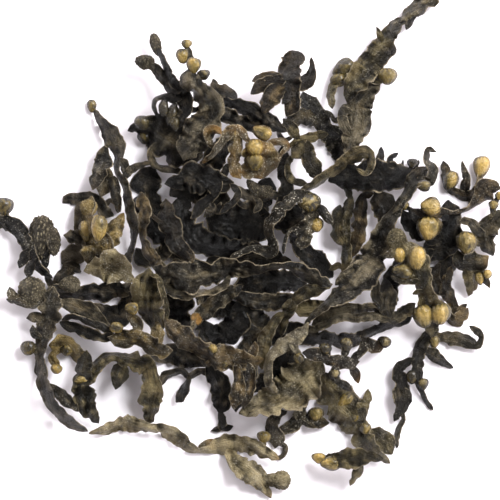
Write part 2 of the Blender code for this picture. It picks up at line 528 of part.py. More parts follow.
LOWER_FRONDS = (
    Frond("mottled_diagonal_strap", OLIVE, (
        strap((318, 369, 8), (322, 376, 14), (330, 390, 29), (345, 407, 32), (357, 425, 26), (364, 441, 20),
              (376, 453, 11), (390, 463, 4)),
        strap((364, 436, 10), (374, 434, 14), (383, 441, 20), (392, 454, 11), side=-1),
        strap((349, 415, 10), (366, 403, 11), (368, 389, 4)),
    ), (
        bladder(345, 400, 11, 18, 40),
        bladder(357, 417, 10, 14, 30),
        bladder(365, 428, 10, 12),
    )),
    Frond("warty_lower_frond", GREY_GREEN, (
        strap((287, 411, 6), (275, 418, 11), (272, 428, 11), (276, 438, 16), (275, 448, 8)),
        strap((276, 434, 9), (284, 430, 9), (293, 425, 12), (301, 419, 10), (312, 421, 12), (329, 423, 9),
              side=-1),
        strap((277, 443, 7), (285, 446, 5), (284, 455, 4), (275, 459, 4)),
        strap((299, 422, 10), (300, 406, 13), (302, 397, 6)),
    ), (
        bladder(316, 414, 14, 14),
    )),
    Frond("long_pale_leaf_frond", PALE, (
        strap((89, 433, 3), (105, 429, 9), (122, 423, 14), (138, 425, 13), (152, 428, 8), (165, 430, 12),
              (178, 438, 14), (190, 447, 9), (199, 450, 6), (208, 449, 8), (218, 446, 15), (235, 443, 18),
              (250, 446, 16), (263, 451, 12), (279, 459, 6)),
        strap((228, 447, 12), (232, 458, 12), (241, 466, 18), (254, 475, 20), (264, 485, 13), (271, 498, 3),
              side=-1),
        strap((198, 450, 5), (204, 444, 6), (213, 439, 4)),
        strap((258, 477, 10), (272, 480, 12), (287, 479, 6)),
        strap((262, 449, 6), (264, 437, 6), side=-1),
    ), (
        warty(280, 480, 15, 20, 0),
        bladder(264, 437, 12, 12),
    )),
    Frond("pale_lower_blade", PALE, (
        strap((322, 360, 12), (316, 367, 24), (302, 379, 40), (287, 392, 35), (269, 401, 25), (253, 408, 16),
              (239, 413, 8), cup=0.3),
    ), ()),
    Frond("speckled_pale_blade", PALE, (
        strap((308, 322, 4), (303, 331, 10), (290, 341, 14), (278, 348, 11), (271, 356, 8), (268, 371, 8),
              (270, 384, 8), (277, 393, 4)),
        strap((289, 342, 8), (297, 350, 7), (299, 360, 5), side=-1),
    ), (
        bladder(299, 358, 9, 11),
    )),
    Frond("warty_brown_frond", BROWN, (
        strap((165, 319, 4), (176, 330, 18), (187, 339, 20), (198, 346, 15), (208, 352, 16), (219, 356, 24),
              (232, 358, 19), (242, 361, 20), (252, 361, 12), (264, 359, 4)),
        strap((235, 361, 9), (238, 373, 8), (239, 386, 12), (237, 396, 14), (234, 409, 4), side=-1),
        strap((248, 362, 8), (251, 375, 9), (249, 390, 10), (243, 409, 4)),
        strap((214, 359, 8), (206, 364, 5), (200, 358, 3), side=-1),
        strap((247, 359, 8), (254, 350, 8), (255, 341, 5)),
    ), (
        bladder(213, 349, 10, 11),
        bladder(223, 363, 9, 11, 20),
    )),
    Frond("warty_tips_frond", BROWN, (
        strap((302, 352, 7), (315, 354, 12), (328, 358, 11), (343, 363, 14), (359, 361, 7)),
        strap((350, 361, 8), (360, 352, 7), (368, 343, 13), (375, 346, 12), (385, 342, 7), side=-1),
        strap((337, 362, 9), (334, 374, 8), (338, 382, 7), (345, 385, 8), (352, 391, 3)),
        strap((348, 364, 8), (355, 373, 8), (358, 383, 3), side=-1),
        strap((342, 359, 8), (345, 351, 8), (346, 341, 7)),
        strap((330, 356, 8), (325, 347, 6), side=-1),
        strap((367, 344, 8), (360, 335, 5)),
    ), (
        bladder(334, 374, 10, 10),
        bladder(346, 344, 11, 14),
        bladder(325, 348, 11, 11),
        bladder(384, 342, 12, 12),
    )),
    Frond("curled_bottom_blade", OLIVE, (
        strap((383, 458, 4), (367, 456, 14), (352, 458, 18), (337, 459, 14), (322, 458, 7)),
        strap((357, 457, 10), (358, 468, 9), (354, 476, 8), (350, 485, 3), side=-1),
    ), (
        bladder(330, 463, 12, 20, 0),
        bladder(319, 458, 12, 11),
    )),
)

LAYING_ORDER = LOWEST_FRONDS + TOP_FRONDS + RIGHT_FRONDS + CENTRE_FRONDS + LEFT_FRONDS + LOWER_FRONDS


def start_empty():
    """Takes everything out of the file."""
    for thing in list(bpy.data.objects):
        bpy.data.objects.remove(thing, do_unlink=True)


def to_metres(x, y):
    """Turns a place on the plan into metres from the clump's middle, with y to the plan's top."""
    return (x - SHEET_CENTRE[0]) * SQUARE, (SHEET_CENTRE[1] - y) * SQUARE


def smooth_step(share):
    """Rises from 0 to 1 with level ends."""
    share = np.clip(share, 0.0, 1.0)
    return share * share * (3.0 - 2.0 * share)


def through_points(points, share):
    """Reads a curve through the points (Catmull-Rom on their chord lengths) at shares of its length."""
    chords = np.linalg.norm(np.diff(points[:, :2], axis=0), axis=1)
    knots = np.concatenate(([0.0], np.cumsum(chords)))
    slopes = np.empty_like(points)
    slopes[1:-1] = (points[2:] - points[:-2]) / (knots[2:] - knots[:-2])[:, None]
    slopes[0] = (points[1] - points[0]) / chords[0]
    slopes[-1] = (points[-1] - points[-2]) / chords[-1]
    along = share * knots[-1]
    piece = np.clip(np.searchsorted(knots, along, side="right") - 1, 0, len(chords) - 1)
    span = chords[piece][:, None]
    s = (along - knots[piece])[:, None] / span
    return (
        (2 * s ** 3 - 3 * s ** 2 + 1) * points[piece]
        + (s ** 3 - 2 * s ** 2 + s) * span * slopes[piece]
        + (3 * s ** 2 - 2 * s ** 3) * points[piece + 1]
        + (s ** 3 - s ** 2) * span * slopes[piece + 1]
    )


def spread(number, step):
    """Gives an even spread of values from 0 to 1, one for each number and step."""
    return (number * GOLDEN_SHARE + step * 0.37) % 1.0


class Ribbon:
    """A strap as a surface of two values: t along it from 0 to 1 and u across it from -1 to 1.

    Its plan follows a smooth curve through the strap's points. Where the strap looks narrow it
    is turned on edge, by the angle whose cosine is the width seen over the full width. Its
    section is cupped with u squared, its edges wave along its length, and its middle bows.
    """

    def __init__(self, plan, number):
        metres = np.empty_like(plan.points)
        metres[:, 0], metres[:, 1] = to_metres(plan.points[:, 0], plan.points[:, 1])
        metres[:, 2] = plan.points[:, 2] * SQUARE
        self.plan = plan
        self.points = metres
        self.number = number
        self.full = metres[:, 2].max() * FLAT_WIDTH
        fine = through_points(metres, np.linspace(0.0, 1.0, 200))
        self.length = np.linalg.norm(np.diff(fine[:, :2], axis=0), axis=1).sum()
        self.root_shift = 0.0
        self.tip_shift = 0.0

    def stations(self):
        """Gives the number of stations that the strap's length asks for."""
        return max(FEWEST_STATIONS, int(round(self.length / STATION_STEP)) + 1)

    def centre(self, t):
        """Gives the middle line's plan points, widths and the plan directions across it."""
        line = through_points(self.points, t)
        before = through_points(self.points, np.clip(t - 0.01, 0.0, 1.0))
        after = through_points(self.points, np.clip(t + 0.01, 0.0, 1.0))
        along = after[:, :2] - before[:, :2]
        along /= np.linalg.norm(along, axis=1)[:, None]
        across = np.stack((-along[:, 1], along[:, 0]), axis=1)
        return line[:, :2], np.maximum(line[:, 2], 2 * SQUARE), across

    def half_widths(self, t, widths):
        """Gives the half width to the right and left, held back on the inside of a tight bend."""
        step = 0.02
        lines = [through_points(self.points, np.clip(t + k * step, 0.0, 1.0))[:, :2] for k in (-1, 0, 1)]
        first = lines[1] - lines[0]
        second = lines[2] - lines[1]
        cross = first[:, 0] * second[:, 1] - first[:, 1] * second[:, 0]
        dot = (first * second).sum(axis=1)
        bend = np.arctan2(cross, dot)
        run = 0.5 * (np.linalg.norm(first, axis=1) + np.linalg.norm(second, axis=1))
        limit = INNER_BEND_SHARE * run / np.maximum(np.abs(bend), 1e-4)
        half = widths / 2
        left = np.where(bend > 0, np.minimum(half, limit), half)
        right = np.where(bend < 0, np.minimum(half, limit), half)
        return right, left

    def surface(self, t, u):
        """Gives the surface points for every t and every u, before the frond is laid."""
        line, widths, across = self.centre(t)
        right, left = self.half_widths(t, widths)
        run = t * self.length
        ends = smooth_step(np.minimum(run, self.length - run) / TURN_FADE)
        turn = np.arccos(np.clip(widths / self.full, math.cos(WIDEST_TURN), 1.0)) * ends * self.plan.side
        half = np.where(u[None, :] < 0, right[:, None], left[:, None])
        offset = half * u[None, :]
        cup = self.plan.cup
        if cup is None:
            cup = CUP_SHARE * (2 * spread(self.number, 1) - 1)
        phases = np.where(u < 0, 2 * math.pi * spread(self.number, 2), 2 * math.pi * spread(self.number, 3))
        wave = np.sin(2 * math.pi * run[:, None] / EDGE_WAVE_LENGTH + phases[None, :])
        wave = wave * np.abs(u[None, :]) ** EDGE_WAVE_POWER * EDGE_WAVE_SHARE * self.plan.wave
        bow = BOW_HEIGHT * self.plan.bow * np.sin(2 * math.pi * (run / BOW_LENGTH + spread(self.number, 4)))
        height = offset * np.tan(turn)[:, None] + half * (cup * u[None, :] ** 2 + wave) + bow[:, None]
        if self.plan.flat:
            height = np.zeros_like(height)
        height = height + (self.root_shift * (1 - smooth_step(run / ROOT_REACH)))[:, None]
        height = height + (self.tip_shift * (1 - smooth_step((self.length - run) / ROOT_REACH)))[:, None]
        places = np.empty(height.shape + (3,))
        places[..., :2] = line[:, None, :] + offset[..., None] * across[:, None, :]
        places[..., 2] = height
        return places

    def height_at(self, place):
        """Gives the height of the faceted strap nearest to a plan place, and how far off it lies."""
        rows = self.surface(np.linspace(0.0, 1.0, self.stations()), np.array([-1.0, 0.0, 1.0]))
        along = np.linspace(0.0, len(rows) - 1.001, 90)
        row = along.astype(int)
        rows = rows[row] + (along - row)[:, None, None] * (rows[row + 1] - rows[row])
        share = np.linspace(0.0, 1.0, 5)[None, :, None]
        halves = [rows[:, k:k + 1] * (1 - share) + rows[:, k + 1:k + 2] * share for k in (0, 1)]
        grid = np.concatenate(halves, axis=1).reshape(-1, 3)
        off = np.linalg.norm(grid[:, :2] - place, axis=1)
        nearest = off.argmin()
        return grid[nearest, 2], off[nearest]

    def solid(self):
        """Gives the strap's corners and triangles: three points across, two faces, blunt edges."""
        t = np.linspace(0.0, 1.0, self.stations())
        u = np.array([-1.0, 0.0, 1.0])
        middle = self.surface(t, u)
        along = np.gradient(middle, axis=0)
        across = np.gradient(middle, axis=1)
        normal = np.cross(across, along)
        normal *= -1.0
        normal /= np.linalg.norm(normal, axis=2)[..., None]
        if self.plan.flat:
            normal[...] = (0.0, 0.0, 1.0)
        rib = MIDRIB_HEIGHT * smooth_step(np.minimum(t, 1 - t) * self.length / TURN_FADE)
        over = middle + normal * (BLADE_THICKNESS / 2)
        under = middle - normal * (BLADE_THICKNESS / 2)
        over[:, 1] += normal[:, 1] * rib[:, None]
        if self.full < STALK_WIDTH:
            ring = np.stack((middle[:, 0], over[:, 1], middle[:, 2], under[:, 1]), axis=1)
        else:
            rims = (over[:, 0], over[:, 1], over[:, 2], under[:, 2], under[:, 1], under[:, 0])
            ring = np.stack(rims, axis=1)
        sides = ring.shape[1]
        faces = []
        for station in range(len(t) - 1):
            here = sides * station
            ahead = here + sides
            for a in range(sides):
                b = (a + 1) % sides
                faces.extend(split_cell(here + a, here + b, ahead + b, ahead + a, a in (1, sides // 2 + 1)))
        last = sides * (len(t) - 1)
        for k in range(1, sides - 1):
            faces.append((0, k, k + 1))
            faces.append((last, last + k + 1, last + k))
        return facing_out(ring.reshape(-1, 3), np.array(faces))


def facing_out(corners, faces):
    """Turns all triangles over if they enclose less than nothing, so that they face outwards."""
    a, b, c = (corners[faces[:, k]] for k in range(3))
    if (np.cross(a, b) * c).sum() < 0:
        faces = faces[:, ::-1]
    return corners, faces


def split_cell(a, b, c, d, slant):
    """Splits a four-cornered cell into two triangles along one diagonal or the other."""
    if slant:
        return (a, d, b), (b, d, c)
    return (a, d, c), (a, c, b)


def pod_solid(pod, order, ribbons):
    """Gives the corners and triangles of a bladder or fruiting tip seated in its strap."""
    x, y = to_metres(pod.x, pod.y)
    heights = [ribbon.height_at((x, y)) for ribbon in ribbons]
    height = min(heights, key=lambda pair: pair[1])[0]
    wide, long = pod.wide * SQUARE / 2, pod.long * SQUARE / 2
    deep = min(wide, long) * pod.depth
    small = int(max(wide, long) < SMALL_POD / 2)
    shape = bmesh.new()
    bmesh.ops.create_uvsphere(
        shape, u_segments=POD_SEGMENTS - small, v_segments=POD_RINGS, radius=1.0,
        matrix=Matrix.Translation((x, y, height + POD_RISE * deep))
        @ Matrix.Rotation(math.radians(pod.turn), 4, "Z")
        @ Matrix.Diagonal(Vector((long, wide, deep, 1.0)))
        @ Matrix.Rotation(math.radians(90), 4, "Y")
        @ Matrix.Rotation(POD_ROLL * (order + 1), 4, "Z"),
    )
    bmesh.ops.triangulate(shape, faces=shape.faces)
    corners = np.array([tuple(v.co) for v in shape.verts])
    faces = np.array([[v.index for v in face.verts] for face in shape.faces])
    shape.free()
    return facing_out(corners, faces)


def frond_solids(frond, first_number):
    """Gives the loose solids of a frond, with every branch pinned to the strap it grows from."""
    ribbons = []
    for order, plan in enumerate(frond.straps):
        ribbon = Ribbon(plan, first_number + order)
        if ribbons:
            for end in (0, -1):
                height, off = min((r.height_at(ribbon.points[end, :2]) for r in ribbons), key=lambda p: p[1])
                if off < SQUARE * PIN_REACH:
                    own = ribbon.surface(np.array([float(end != 0)]), np.array([0.0]))[0, 0, 2]
                    if end == 0:
                        ribbon.root_shift = height - own - ROOT_SINK
                    else:
                        ribbon.tip_shift = height - own - ROOT_SINK
        ribbons.append(ribbon)
    solids = [ribbon.solid() for ribbon in ribbons]
    solids.extend(pod_solid(pod, order, ribbons) for order, pod in enumerate(frond.pods))
    return solids


class Bed:
    """The surface and all that has been laid on it, as a grid of the highest points so far."""

    def __init__(self):
        self.count = int(round(2 * REACH / CELL))
        self.top = np.zeros((self.count, self.count))
        steps = np.arange(LATTICE + 1)
        first, second = np.meshgrid(steps, steps, indexing="ij")
        inside = first + second <= LATTICE
        a = first[inside] / LATTICE
        b = second[inside] / LATTICE
        self.weights = np.stack((a, b, 1 - a - b), axis=1)

    def cells(self, places):
        """Gives the grid cell of each plan place."""
        index = np.floor((places[..., :2] + REACH) / CELL).astype(int)
        return np.clip(index, 0, self.count - 1)

    def widened(self):
        """Gives the grid with every cell as high as its highest neighbour."""
        high = np.pad(self.top, 1)
        shifts = [high[i:i + self.count, j:j + self.count] for i in range(3) for j in range(3)]
        return np.max(shifts, axis=0)

    def lay(self, corners, faces):
        """Lifts a frond's corners so that it rests on the bed, then adds it to the bed.

        The lift needed at each point of the frond is spread to the rest of it as a stiff
        strap's sag: it falls off with the distance d as h * (sqrt(1 + (d / l) ** 2) - 1).
        """
        samples = np.einsum("kc,fcx->fkx", self.weights, corners[faces]).reshape(-1, 3)
        cell = self.cells(samples)
        bed = self.widened()[cell[:, 0], cell[:, 1]]
        needed = np.where(bed > 0, bed + GAP, 0.0) - samples[:, 2]
        key = cell[:, 0] * self.count + cell[:, 1]
        order = np.lexsort((-needed, key))
        chosen = order[np.unique(key[order], return_index=True)[1]]
        spots = samples[chosen, :2]
        wants = needed[chosen]
        off = np.linalg.norm(corners[:, None, :2] - spots[None, :, :], axis=2)
        sag = DROOP_HEIGHT * (np.sqrt(1 + (off / DROOP_LENGTH) ** 2) - 1)
        for _ in range(SETTLE_ROUNDS):
            lift = (wants[None, :] - sag).max(axis=1)
            have = np.einsum("kc,fc->fk", self.weights, lift[faces]).reshape(-1)
            short = needed - have
            wants = wants + np.maximum(short[chosen], 0.0)
        lift += short.max()
        floor_short = (-corners[:, 2] - lift).max()
        lift += max(floor_short, 0.0)
        laid = corners.copy()
        laid[:, 2] += lift
        high = np.einsum("kc,fc->fk", self.weights, laid[:, 2][faces]).reshape(-1)
        np.maximum.at(self.top, (cell[:, 0], cell[:, 1]), high)
        return laid


def blade_material(name, colour):
    """Makes a frond's plain matte material."""
    material = bpy.data.materials.new(name + "_finish")
    material.use_nodes = True
    shader = material.node_tree.nodes["Principled BSDF"]
    shader.inputs["Base Color"].default_value = (*colour, 1.0)
    shader.inputs["Roughness"].default_value = ROUGHNESS
    shader.inputs["Metallic"].default_value = 0.0
    return material


def mesh_object(name, corners, faces, collection):
    """Makes an object from corners and triangles."""
    mesh = bpy.data.meshes.new(name)
    mesh.from_pydata([tuple(c) for c in corners], [], [tuple(int(i) for i in f) for f in faces])
    mesh.update()
    thing = bpy.data.objects.new(name, mesh)
    collection.objects.link(thing)
    return thing


def is_hollow(body):
    """Whether a closed group of joined corners faces inward, as the wall of a sealed hollow does."""
    volume = 0.0
    for face in {face for vert in body for face in vert.link_faces}:
        first = face.verts[0].co
        for second, third in zip(face.verts[1:-1], face.verts[2:]):
            volume += first.dot(second.co.cross(third.co))
    return volume < 0.0


def drop_scraps(shape):
    """Takes out the loose splinters and sealed hollows that joining leaves, and keeps the one large body."""
    bodies = []
    left = set(shape.verts)
    while left:
        body = {left.pop()}
        edge_of_body = list(body)
        while edge_of_body:
            vert = edge_of_body.pop()
            for edge in vert.link_edges:
                other = edge.other_vert(vert)
                if other in left:
                    left.remove(other)
                    body.add(other)
                    edge_of_body.append(other)
        bodies.append(body)
    bodies.sort(key=len)
    scraps = [vert for body in bodies[:-1] if len(body) < SCRAP_CORNERS or is_hollow(body) for vert in body]
    bmesh.ops.delete(shape, geom=scraps, context="VERTS")


def crossings(shape):
    """Counts the pairs of faces that cut each other and share no corner."""
    tree = BVHTree.FromBMesh(shape)
    shape.faces.ensure_lookup_table()
    corners = [{vert.index for vert in face.verts} for face in shape.faces]
    return sum(one < other and not corners[one] & corners[other] for one, other in tree.overlap(tree))


def is_closed(shape):
    """Whether a shape is closed all over, with no two corners in one place."""
    places = {tuple(round(value / CLOSEST_CORNERS) for value in vert.co) for vert in shape.verts}
    return (
        len(places) == len(shape.verts)
        and all(edge.is_manifold and edge.is_contiguous for edge in shape.edges)
        and all(vert.is_manifold for vert in shape.verts)
    )


def clean(mesh):
    """Takes out the short edges and flat splits that joining leaves, as far as no walls then cross.

    It gives how many pairs of faces still cross, or MANY_CROSSINGS where the mesh isn't closed.
    """
    best = None
    fewest = MANY_CROSSINGS
    for shortest, angle in CLEANING:
        shape = bmesh.new()
        shape.from_mesh(mesh)
        bmesh.ops.dissolve_degenerate(shape, dist=shortest, edges=shape.edges)
        if angle:
            bmesh.ops.dissolve_limit(shape, angle_limit=angle, verts=shape.verts, edges=shape.edges)
        bmesh.ops.triangulate(shape, faces=shape.faces)
        drop_scraps(shape)
        crossed = crossings(shape) if is_closed(shape) else MANY_CROSSINGS
        if crossed < fewest:
            fewest = crossed
            if best:
                best.free()
            best = shape
        else:
            shape.free()
        if fewest == 0:
            break
    if best:
        best.to_mesh(mesh)
        best.free()
    return fewest


def joined_mesh(frond, solids, nudge):
    """Joins a frond's solids by one Boolean union, each branch raised by a hair, and cleans the mesh."""
    scene = bpy.context.scene.collection
    body = mesh_object(frond.name, *solids[0], scene)
    branches = bpy.data.collections.new(frond.name + "_branches")
    scene.children.link(branches)
    for order, (corners, faces) in enumerate(solids[1:]):
        raised = corners + np.array((0.0, 0.0, nudge * ((order % NUDGE_STEPS) + 1)))
        mesh_object(f"{frond.name}_branch_{order}", raised, faces, branches)
    union = body.modifiers.new("branches", "BOOLEAN")
    union.operation = "UNION"
    union.solver = "MANIFOLD"
    union.operand_type = "COLLECTION"
    union.collection = branches
    bpy.context.view_layer.update()
    mesh = bpy.data.meshes.new_from_object(body.evaluated_get(bpy.context.evaluated_depsgraph_get()))
    for piece in list(branches.objects) + [body]:
        bpy.data.objects.remove(piece, do_unlink=True)
    bpy.data.collections.remove(branches)
    return mesh, clean(mesh)


def fuse(frond, solids):
    """Makes a frond's object, its straps and pods joined into one body."""
    if len(solids) == 1:
        body = mesh_object(frond.name, *solids[0], bpy.context.scene.collection)
    else:
        tries = []
        for nudge in NUDGES:
            tries.append(joined_mesh(frond, solids, nudge))
            if tries[-1][1] == 0:
                break
        mesh = min(tries, key=lambda found: found[1])[0]
        mesh.name = frond.name
        body = bpy.data.objects.new(frond.name, mesh)
        bpy.context.scene.collection.objects.link(body)
    body.data.materials.clear()
    body.data.materials.append(blade_material(frond.name, frond.colour))
    return body


def main():
    """Lays every frond and fuses each into one body."""
    start_empty()
    bed = Bed()
    number = 0
    for frond in LAYING_ORDER:
        solids = frond_solids(frond, number)
        number += len(frond.straps)
        starts = np.cumsum([0] + [len(corners) for corners, _ in solids])
        corners = np.concatenate([corners for corners, _ in solids])
        faces = np.concatenate([faces + start for (_, faces), start in zip(solids, starts)])
        laid = bed.lay(corners, faces)
        placed = [
            (laid[start:start + len(own)], own_faces)
            for (own, own_faces), start in zip(solids, starts)
        ]
        fuse(frond, placed)


if __name__ == "__main__":
    main()
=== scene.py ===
"""A clump of dried bladderwrack on a pale table, seen from straight above in soft daylight.

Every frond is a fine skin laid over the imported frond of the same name. Its straps are surfaces of
two values, t along the strap and u across it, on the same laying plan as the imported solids: a
sheet of squares of 0.4 mm seen from above, x to the right and y down. The straps get their
ruffled and torn margins, midribs, lengthwise wrinkles, air bladders and warty tips here.
"""

import json
import math
from collections import namedtuple

import bmesh
import bpy
import numpy as np
from mathutils import Matrix, Vector

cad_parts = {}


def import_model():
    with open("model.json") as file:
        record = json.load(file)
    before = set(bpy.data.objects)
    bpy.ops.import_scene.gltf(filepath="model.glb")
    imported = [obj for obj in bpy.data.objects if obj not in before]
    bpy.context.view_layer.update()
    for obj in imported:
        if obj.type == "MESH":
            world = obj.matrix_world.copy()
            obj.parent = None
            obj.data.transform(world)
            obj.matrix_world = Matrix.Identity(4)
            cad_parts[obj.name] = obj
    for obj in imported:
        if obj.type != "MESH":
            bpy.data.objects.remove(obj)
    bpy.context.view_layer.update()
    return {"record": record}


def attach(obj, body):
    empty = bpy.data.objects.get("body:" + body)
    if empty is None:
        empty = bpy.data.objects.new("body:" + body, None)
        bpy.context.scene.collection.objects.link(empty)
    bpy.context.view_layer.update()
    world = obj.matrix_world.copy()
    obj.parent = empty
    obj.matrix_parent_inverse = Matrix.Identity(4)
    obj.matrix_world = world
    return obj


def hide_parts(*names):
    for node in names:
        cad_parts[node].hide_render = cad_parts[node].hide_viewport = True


# The laying plan: one square's side, the clump's middle, and the picture's middle and side in squares
SQUARE = 0.0004
SHEET_CENTRE = (250.0, 256.0)
PICTURE_CENTRE = (250.0, 250.0)
PICTURE_SIDE = 500

# Straps as they are packed: sizes in metres, and shares of the width seen from above
BLADE_THICKNESS = 0.0007
MIDRIB_HEIGHT = 0.0005
STALK_WIDTH = 0.0042
STATION_STEP = 0.0085
FEWEST_STATIONS = 3
WIDEST_TURN = math.radians(60)
TURN_FADE = 0.006
FLAT_WIDTH = 1.06
INNER_BEND_SHARE = 0.8
EDGE_WAVE_LENGTH = 0.0165
EDGE_WAVE_SHARE = 0.24
EDGE_WAVE_POWER = 2.0
CUP_SHARE = 0.22
BOW_HEIGHT = 0.0020
BOW_LENGTH = 0.042
ROOT_REACH = 0.010
PIN_REACH = 2.2
ROOT_SINK = 0.00006
GOLDEN_SHARE = 0.6180339887
SPREAD_STEP = 0.37
AIM_STEP = 0.01
BEND_STEP = 0.02
LEAST_BEND = 1e-4
LENGTH_READINGS = 200
ROW_READINGS = 90
HALF_READINGS = 5
LAST_ROW_GAP = 1.001

# Bladders and warty tips as they are packed
BLADDER_DEPTH = 0.92
WARTY_DEPTH = 0.62
POD_RISE = 0.22
POD_ROLL = math.radians(23)
POD_SEGMENTS = 6
POD_RINGS = 4
SMALL_POD = 0.0060

# Laying one frond on another: the gap, the grid of heights, and how a stiff strap sags
GAP = 0.0003
CELL = 0.0005
REACH = 0.118
LATTICE = 16
DROOP_HEIGHT = 0.0075
DROOP_LENGTH = 0.015
SETTLE_ROUNDS = 3

Strap = namedtuple("Strap", "points side cup wave bow flat")
Pod = namedtuple("Pod", "x y wide long turn depth")
Frond = namedtuple("Frond", "name straps pods")


def strap(*points, side=1, cup=None, wave=1.0, bow=1.0, flat=False):
    """Returns a strap from its points (x, y, width) on the plan, from root to tip."""
    return Strap(np.array(points, dtype=float), side, cup, wave, bow, flat)


def bladder(x, y, wide, long, turn=90):
    """Returns an air bladder, with its long side turned from the plan's x towards its top."""
    return Pod(x, y, wide, long, turn, BLADDER_DEPTH)


def warty(x, y, wide, long, turn=90):
    """Returns a warty fruiting tip, flatter than a bladder."""
    return Pod(x, y, wide, long, turn, WARTY_DEPTH)


LOWEST_FRONDS = (
    Frond("resting_blade", (
        strap((206, 262, 14), (228, 260, 16), (250, 257, 15), (272, 258, 16), (292, 262, 10), flat=True),
    ), ()),
    Frond("dark_panel", (
        strap((176, 258, 12), (178, 280, 24), (180, 300, 30), (179, 320, 24), (174, 340, 10)),
        strap((180, 272, 14), (182, 256, 20), (168, 240, 22), (154, 222, 24), (148, 200, 26), (147, 182, 26),
              (154, 166, 12), side=-1),
        strap((174, 244, 10), (158, 256, 14), (144, 258, 16), (136, 248, 8)),
    ), ()),
    Frond("dark_heart", (
        strap((206, 218, 22), (222, 222, 36), (240, 222, 38), (260, 224, 34), (276, 222, 16)),
        strap((222, 214, 20), (212, 196, 26), (196, 188, 28), (180, 190, 22), (170, 196, 10), side=-1),
        strap((256, 216, 20), (262, 196, 20), (270, 178, 16)),
        strap((184, 196, 14), (182, 214, 22), (192, 234, 26), (214, 246, 20), (240, 248, 16), (262, 246, 12)),
        strap((202, 190, 14), (208, 174, 18), (214, 158, 20), (224, 142, 16), (232, 128, 8)),
        strap((268, 222, 16), (290, 216, 22), (304, 206, 14), (312, 196, 6)),
        strap((276, 220, 10), (292, 232, 14), (303, 248, 16), (317, 262, 19), (333, 277, 12), side=-1),
    ), ()),
    Frond("dark_core", (
        strap((240, 298, 18), (248, 316, 26), (262, 330, 26), (284, 332, 22), (310, 336, 18), (328, 339, 14),
              (345, 341, 14), (360, 337, 11), (372, 331, 8), (386, 325, 9), (400, 321, 10), (412, 316, 8)),
        strap((246, 312, 20), (234, 327, 22), (221, 337, 22), (207, 332, 20), (202, 319, 8), side=-1),
        strap((260, 328, 20), (250, 343, 22), (250, 362, 16), (246, 382, 14), (238, 398, 12), (236, 412, 6)),
        strap((284, 334, 16), (288, 350, 20), (278, 368, 20), (264, 382, 14), (254, 392, 6), side=-1),
        strap((244, 306, 16), (248, 287, 24), (270, 280, 26), (292, 281, 20), (308, 287, 10)),
        strap((244, 318, 14), (226, 308, 20), (210, 304, 20), (200, 308, 10)),
    ), ()),
    Frond("shaded_brown_blade", (
        strap((375, 190, 12), (380, 200, 20), (385, 210, 22), (386, 220, 16), (381, 232, 6)),
        strap((373, 193, 10), (364, 197, 9), (360, 212, 12), (359, 228, 14), (355, 244, 14), (350, 258, 8),
              side=-1),
    ), ()),
    Frond("big_black_blade", (
        strap((448, 200, 12), (449, 212, 20), (450, 226, 22), (445, 243, 28), (432, 251, 20), (420, 256, 8)),
        strap((442, 240, 14), (426, 234, 18), (412, 224, 18), (402, 210, 8), side=-1),
        strap((446, 244, 12), (450, 258, 16), (444, 272, 14), (436, 282, 6)),
        strap((434, 250, 10), (414, 261, 18), (397, 272, 18), (390, 287, 14), (398, 301, 10)),
    ), ()),
    Frond("black_left_blade", (
        strap((63, 203, 4), (68, 199, 9), (78, 199, 10), (90, 197, 10), (99, 203, 10), (106, 212, 12),
              (114, 216, 8)),
        strap((82, 201, 8), (80, 208, 9), (79, 218, 8), (79, 230, 8), (84, 240, 12), (96, 244, 10), side=-1),
        strap((87, 241, 10), (74, 237, 14), (64, 235, 6)),
        strap((86, 243, 10), (78, 252, 18), (68, 259, 16), (62, 264, 6)),
        strap((104, 209, 6), (110, 200, 4), (116, 203, 4), (118, 213, 5), side=-1),
    ), ()),
    Frond("black_left_strap", (
        strap((56, 294, 10), (75, 294, 12), (90, 292, 14), (105, 292, 18), (122, 289, 16), (136, 292, 10)),
        strap((60, 293, 10), (60, 283, 12), (66, 273, 12), (73, 267, 12), (81, 272, 8), side=-1),
        strap((62, 289, 8), (50, 284, 6), (47, 268, 6)),
        strap((128, 291, 12), (129, 304, 18), (120, 316, 18), (104, 312, 14), (90, 304, 6)),
    ), ()),
    Frond("lower_black_frond", (
        strap((208, 366, 8), (196, 358, 18), (176, 355, 20), (158, 353, 14), (145, 347, 6), side=-1),
        strap((206, 362, 8), (212, 372, 14), (221, 388, 20), (222, 402, 18), (220, 414, 10)),
        strap((212, 374, 8), (200, 371, 6), (188, 376, 6), (181, 371, 6), (168, 374, 7), (160, 381, 9),
              (156, 387, 5), side=-1),
        strap((189, 374, 6), (188, 382, 5), (186, 388, 8), (183, 394, 12), (176, 402, 5)),
        strap((220, 410, 9), (222, 420, 7), (224, 428, 9), (233, 426, 6)),
        strap((224, 427, 7), (211, 431, 4)),
    ), ()),
    Frond("olive_brown_frond", (
        strap((166, 199, 6), (167, 213, 16), (172, 229, 20), (176, 243, 16), (188, 257, 12), (190, 268, 12)),
        strap((188, 266, 10), (176, 272, 10), (164, 271, 10), (156, 261, 11), (148, 250, 10), (144, 238, 6),
              (144, 226, 11), (145, 215, 12), (143, 203, 12), (141, 192, 9), side=-1),
        strap((168, 222, 8), (160, 222, 4), (149, 212, 3)),
    ), ()),
)

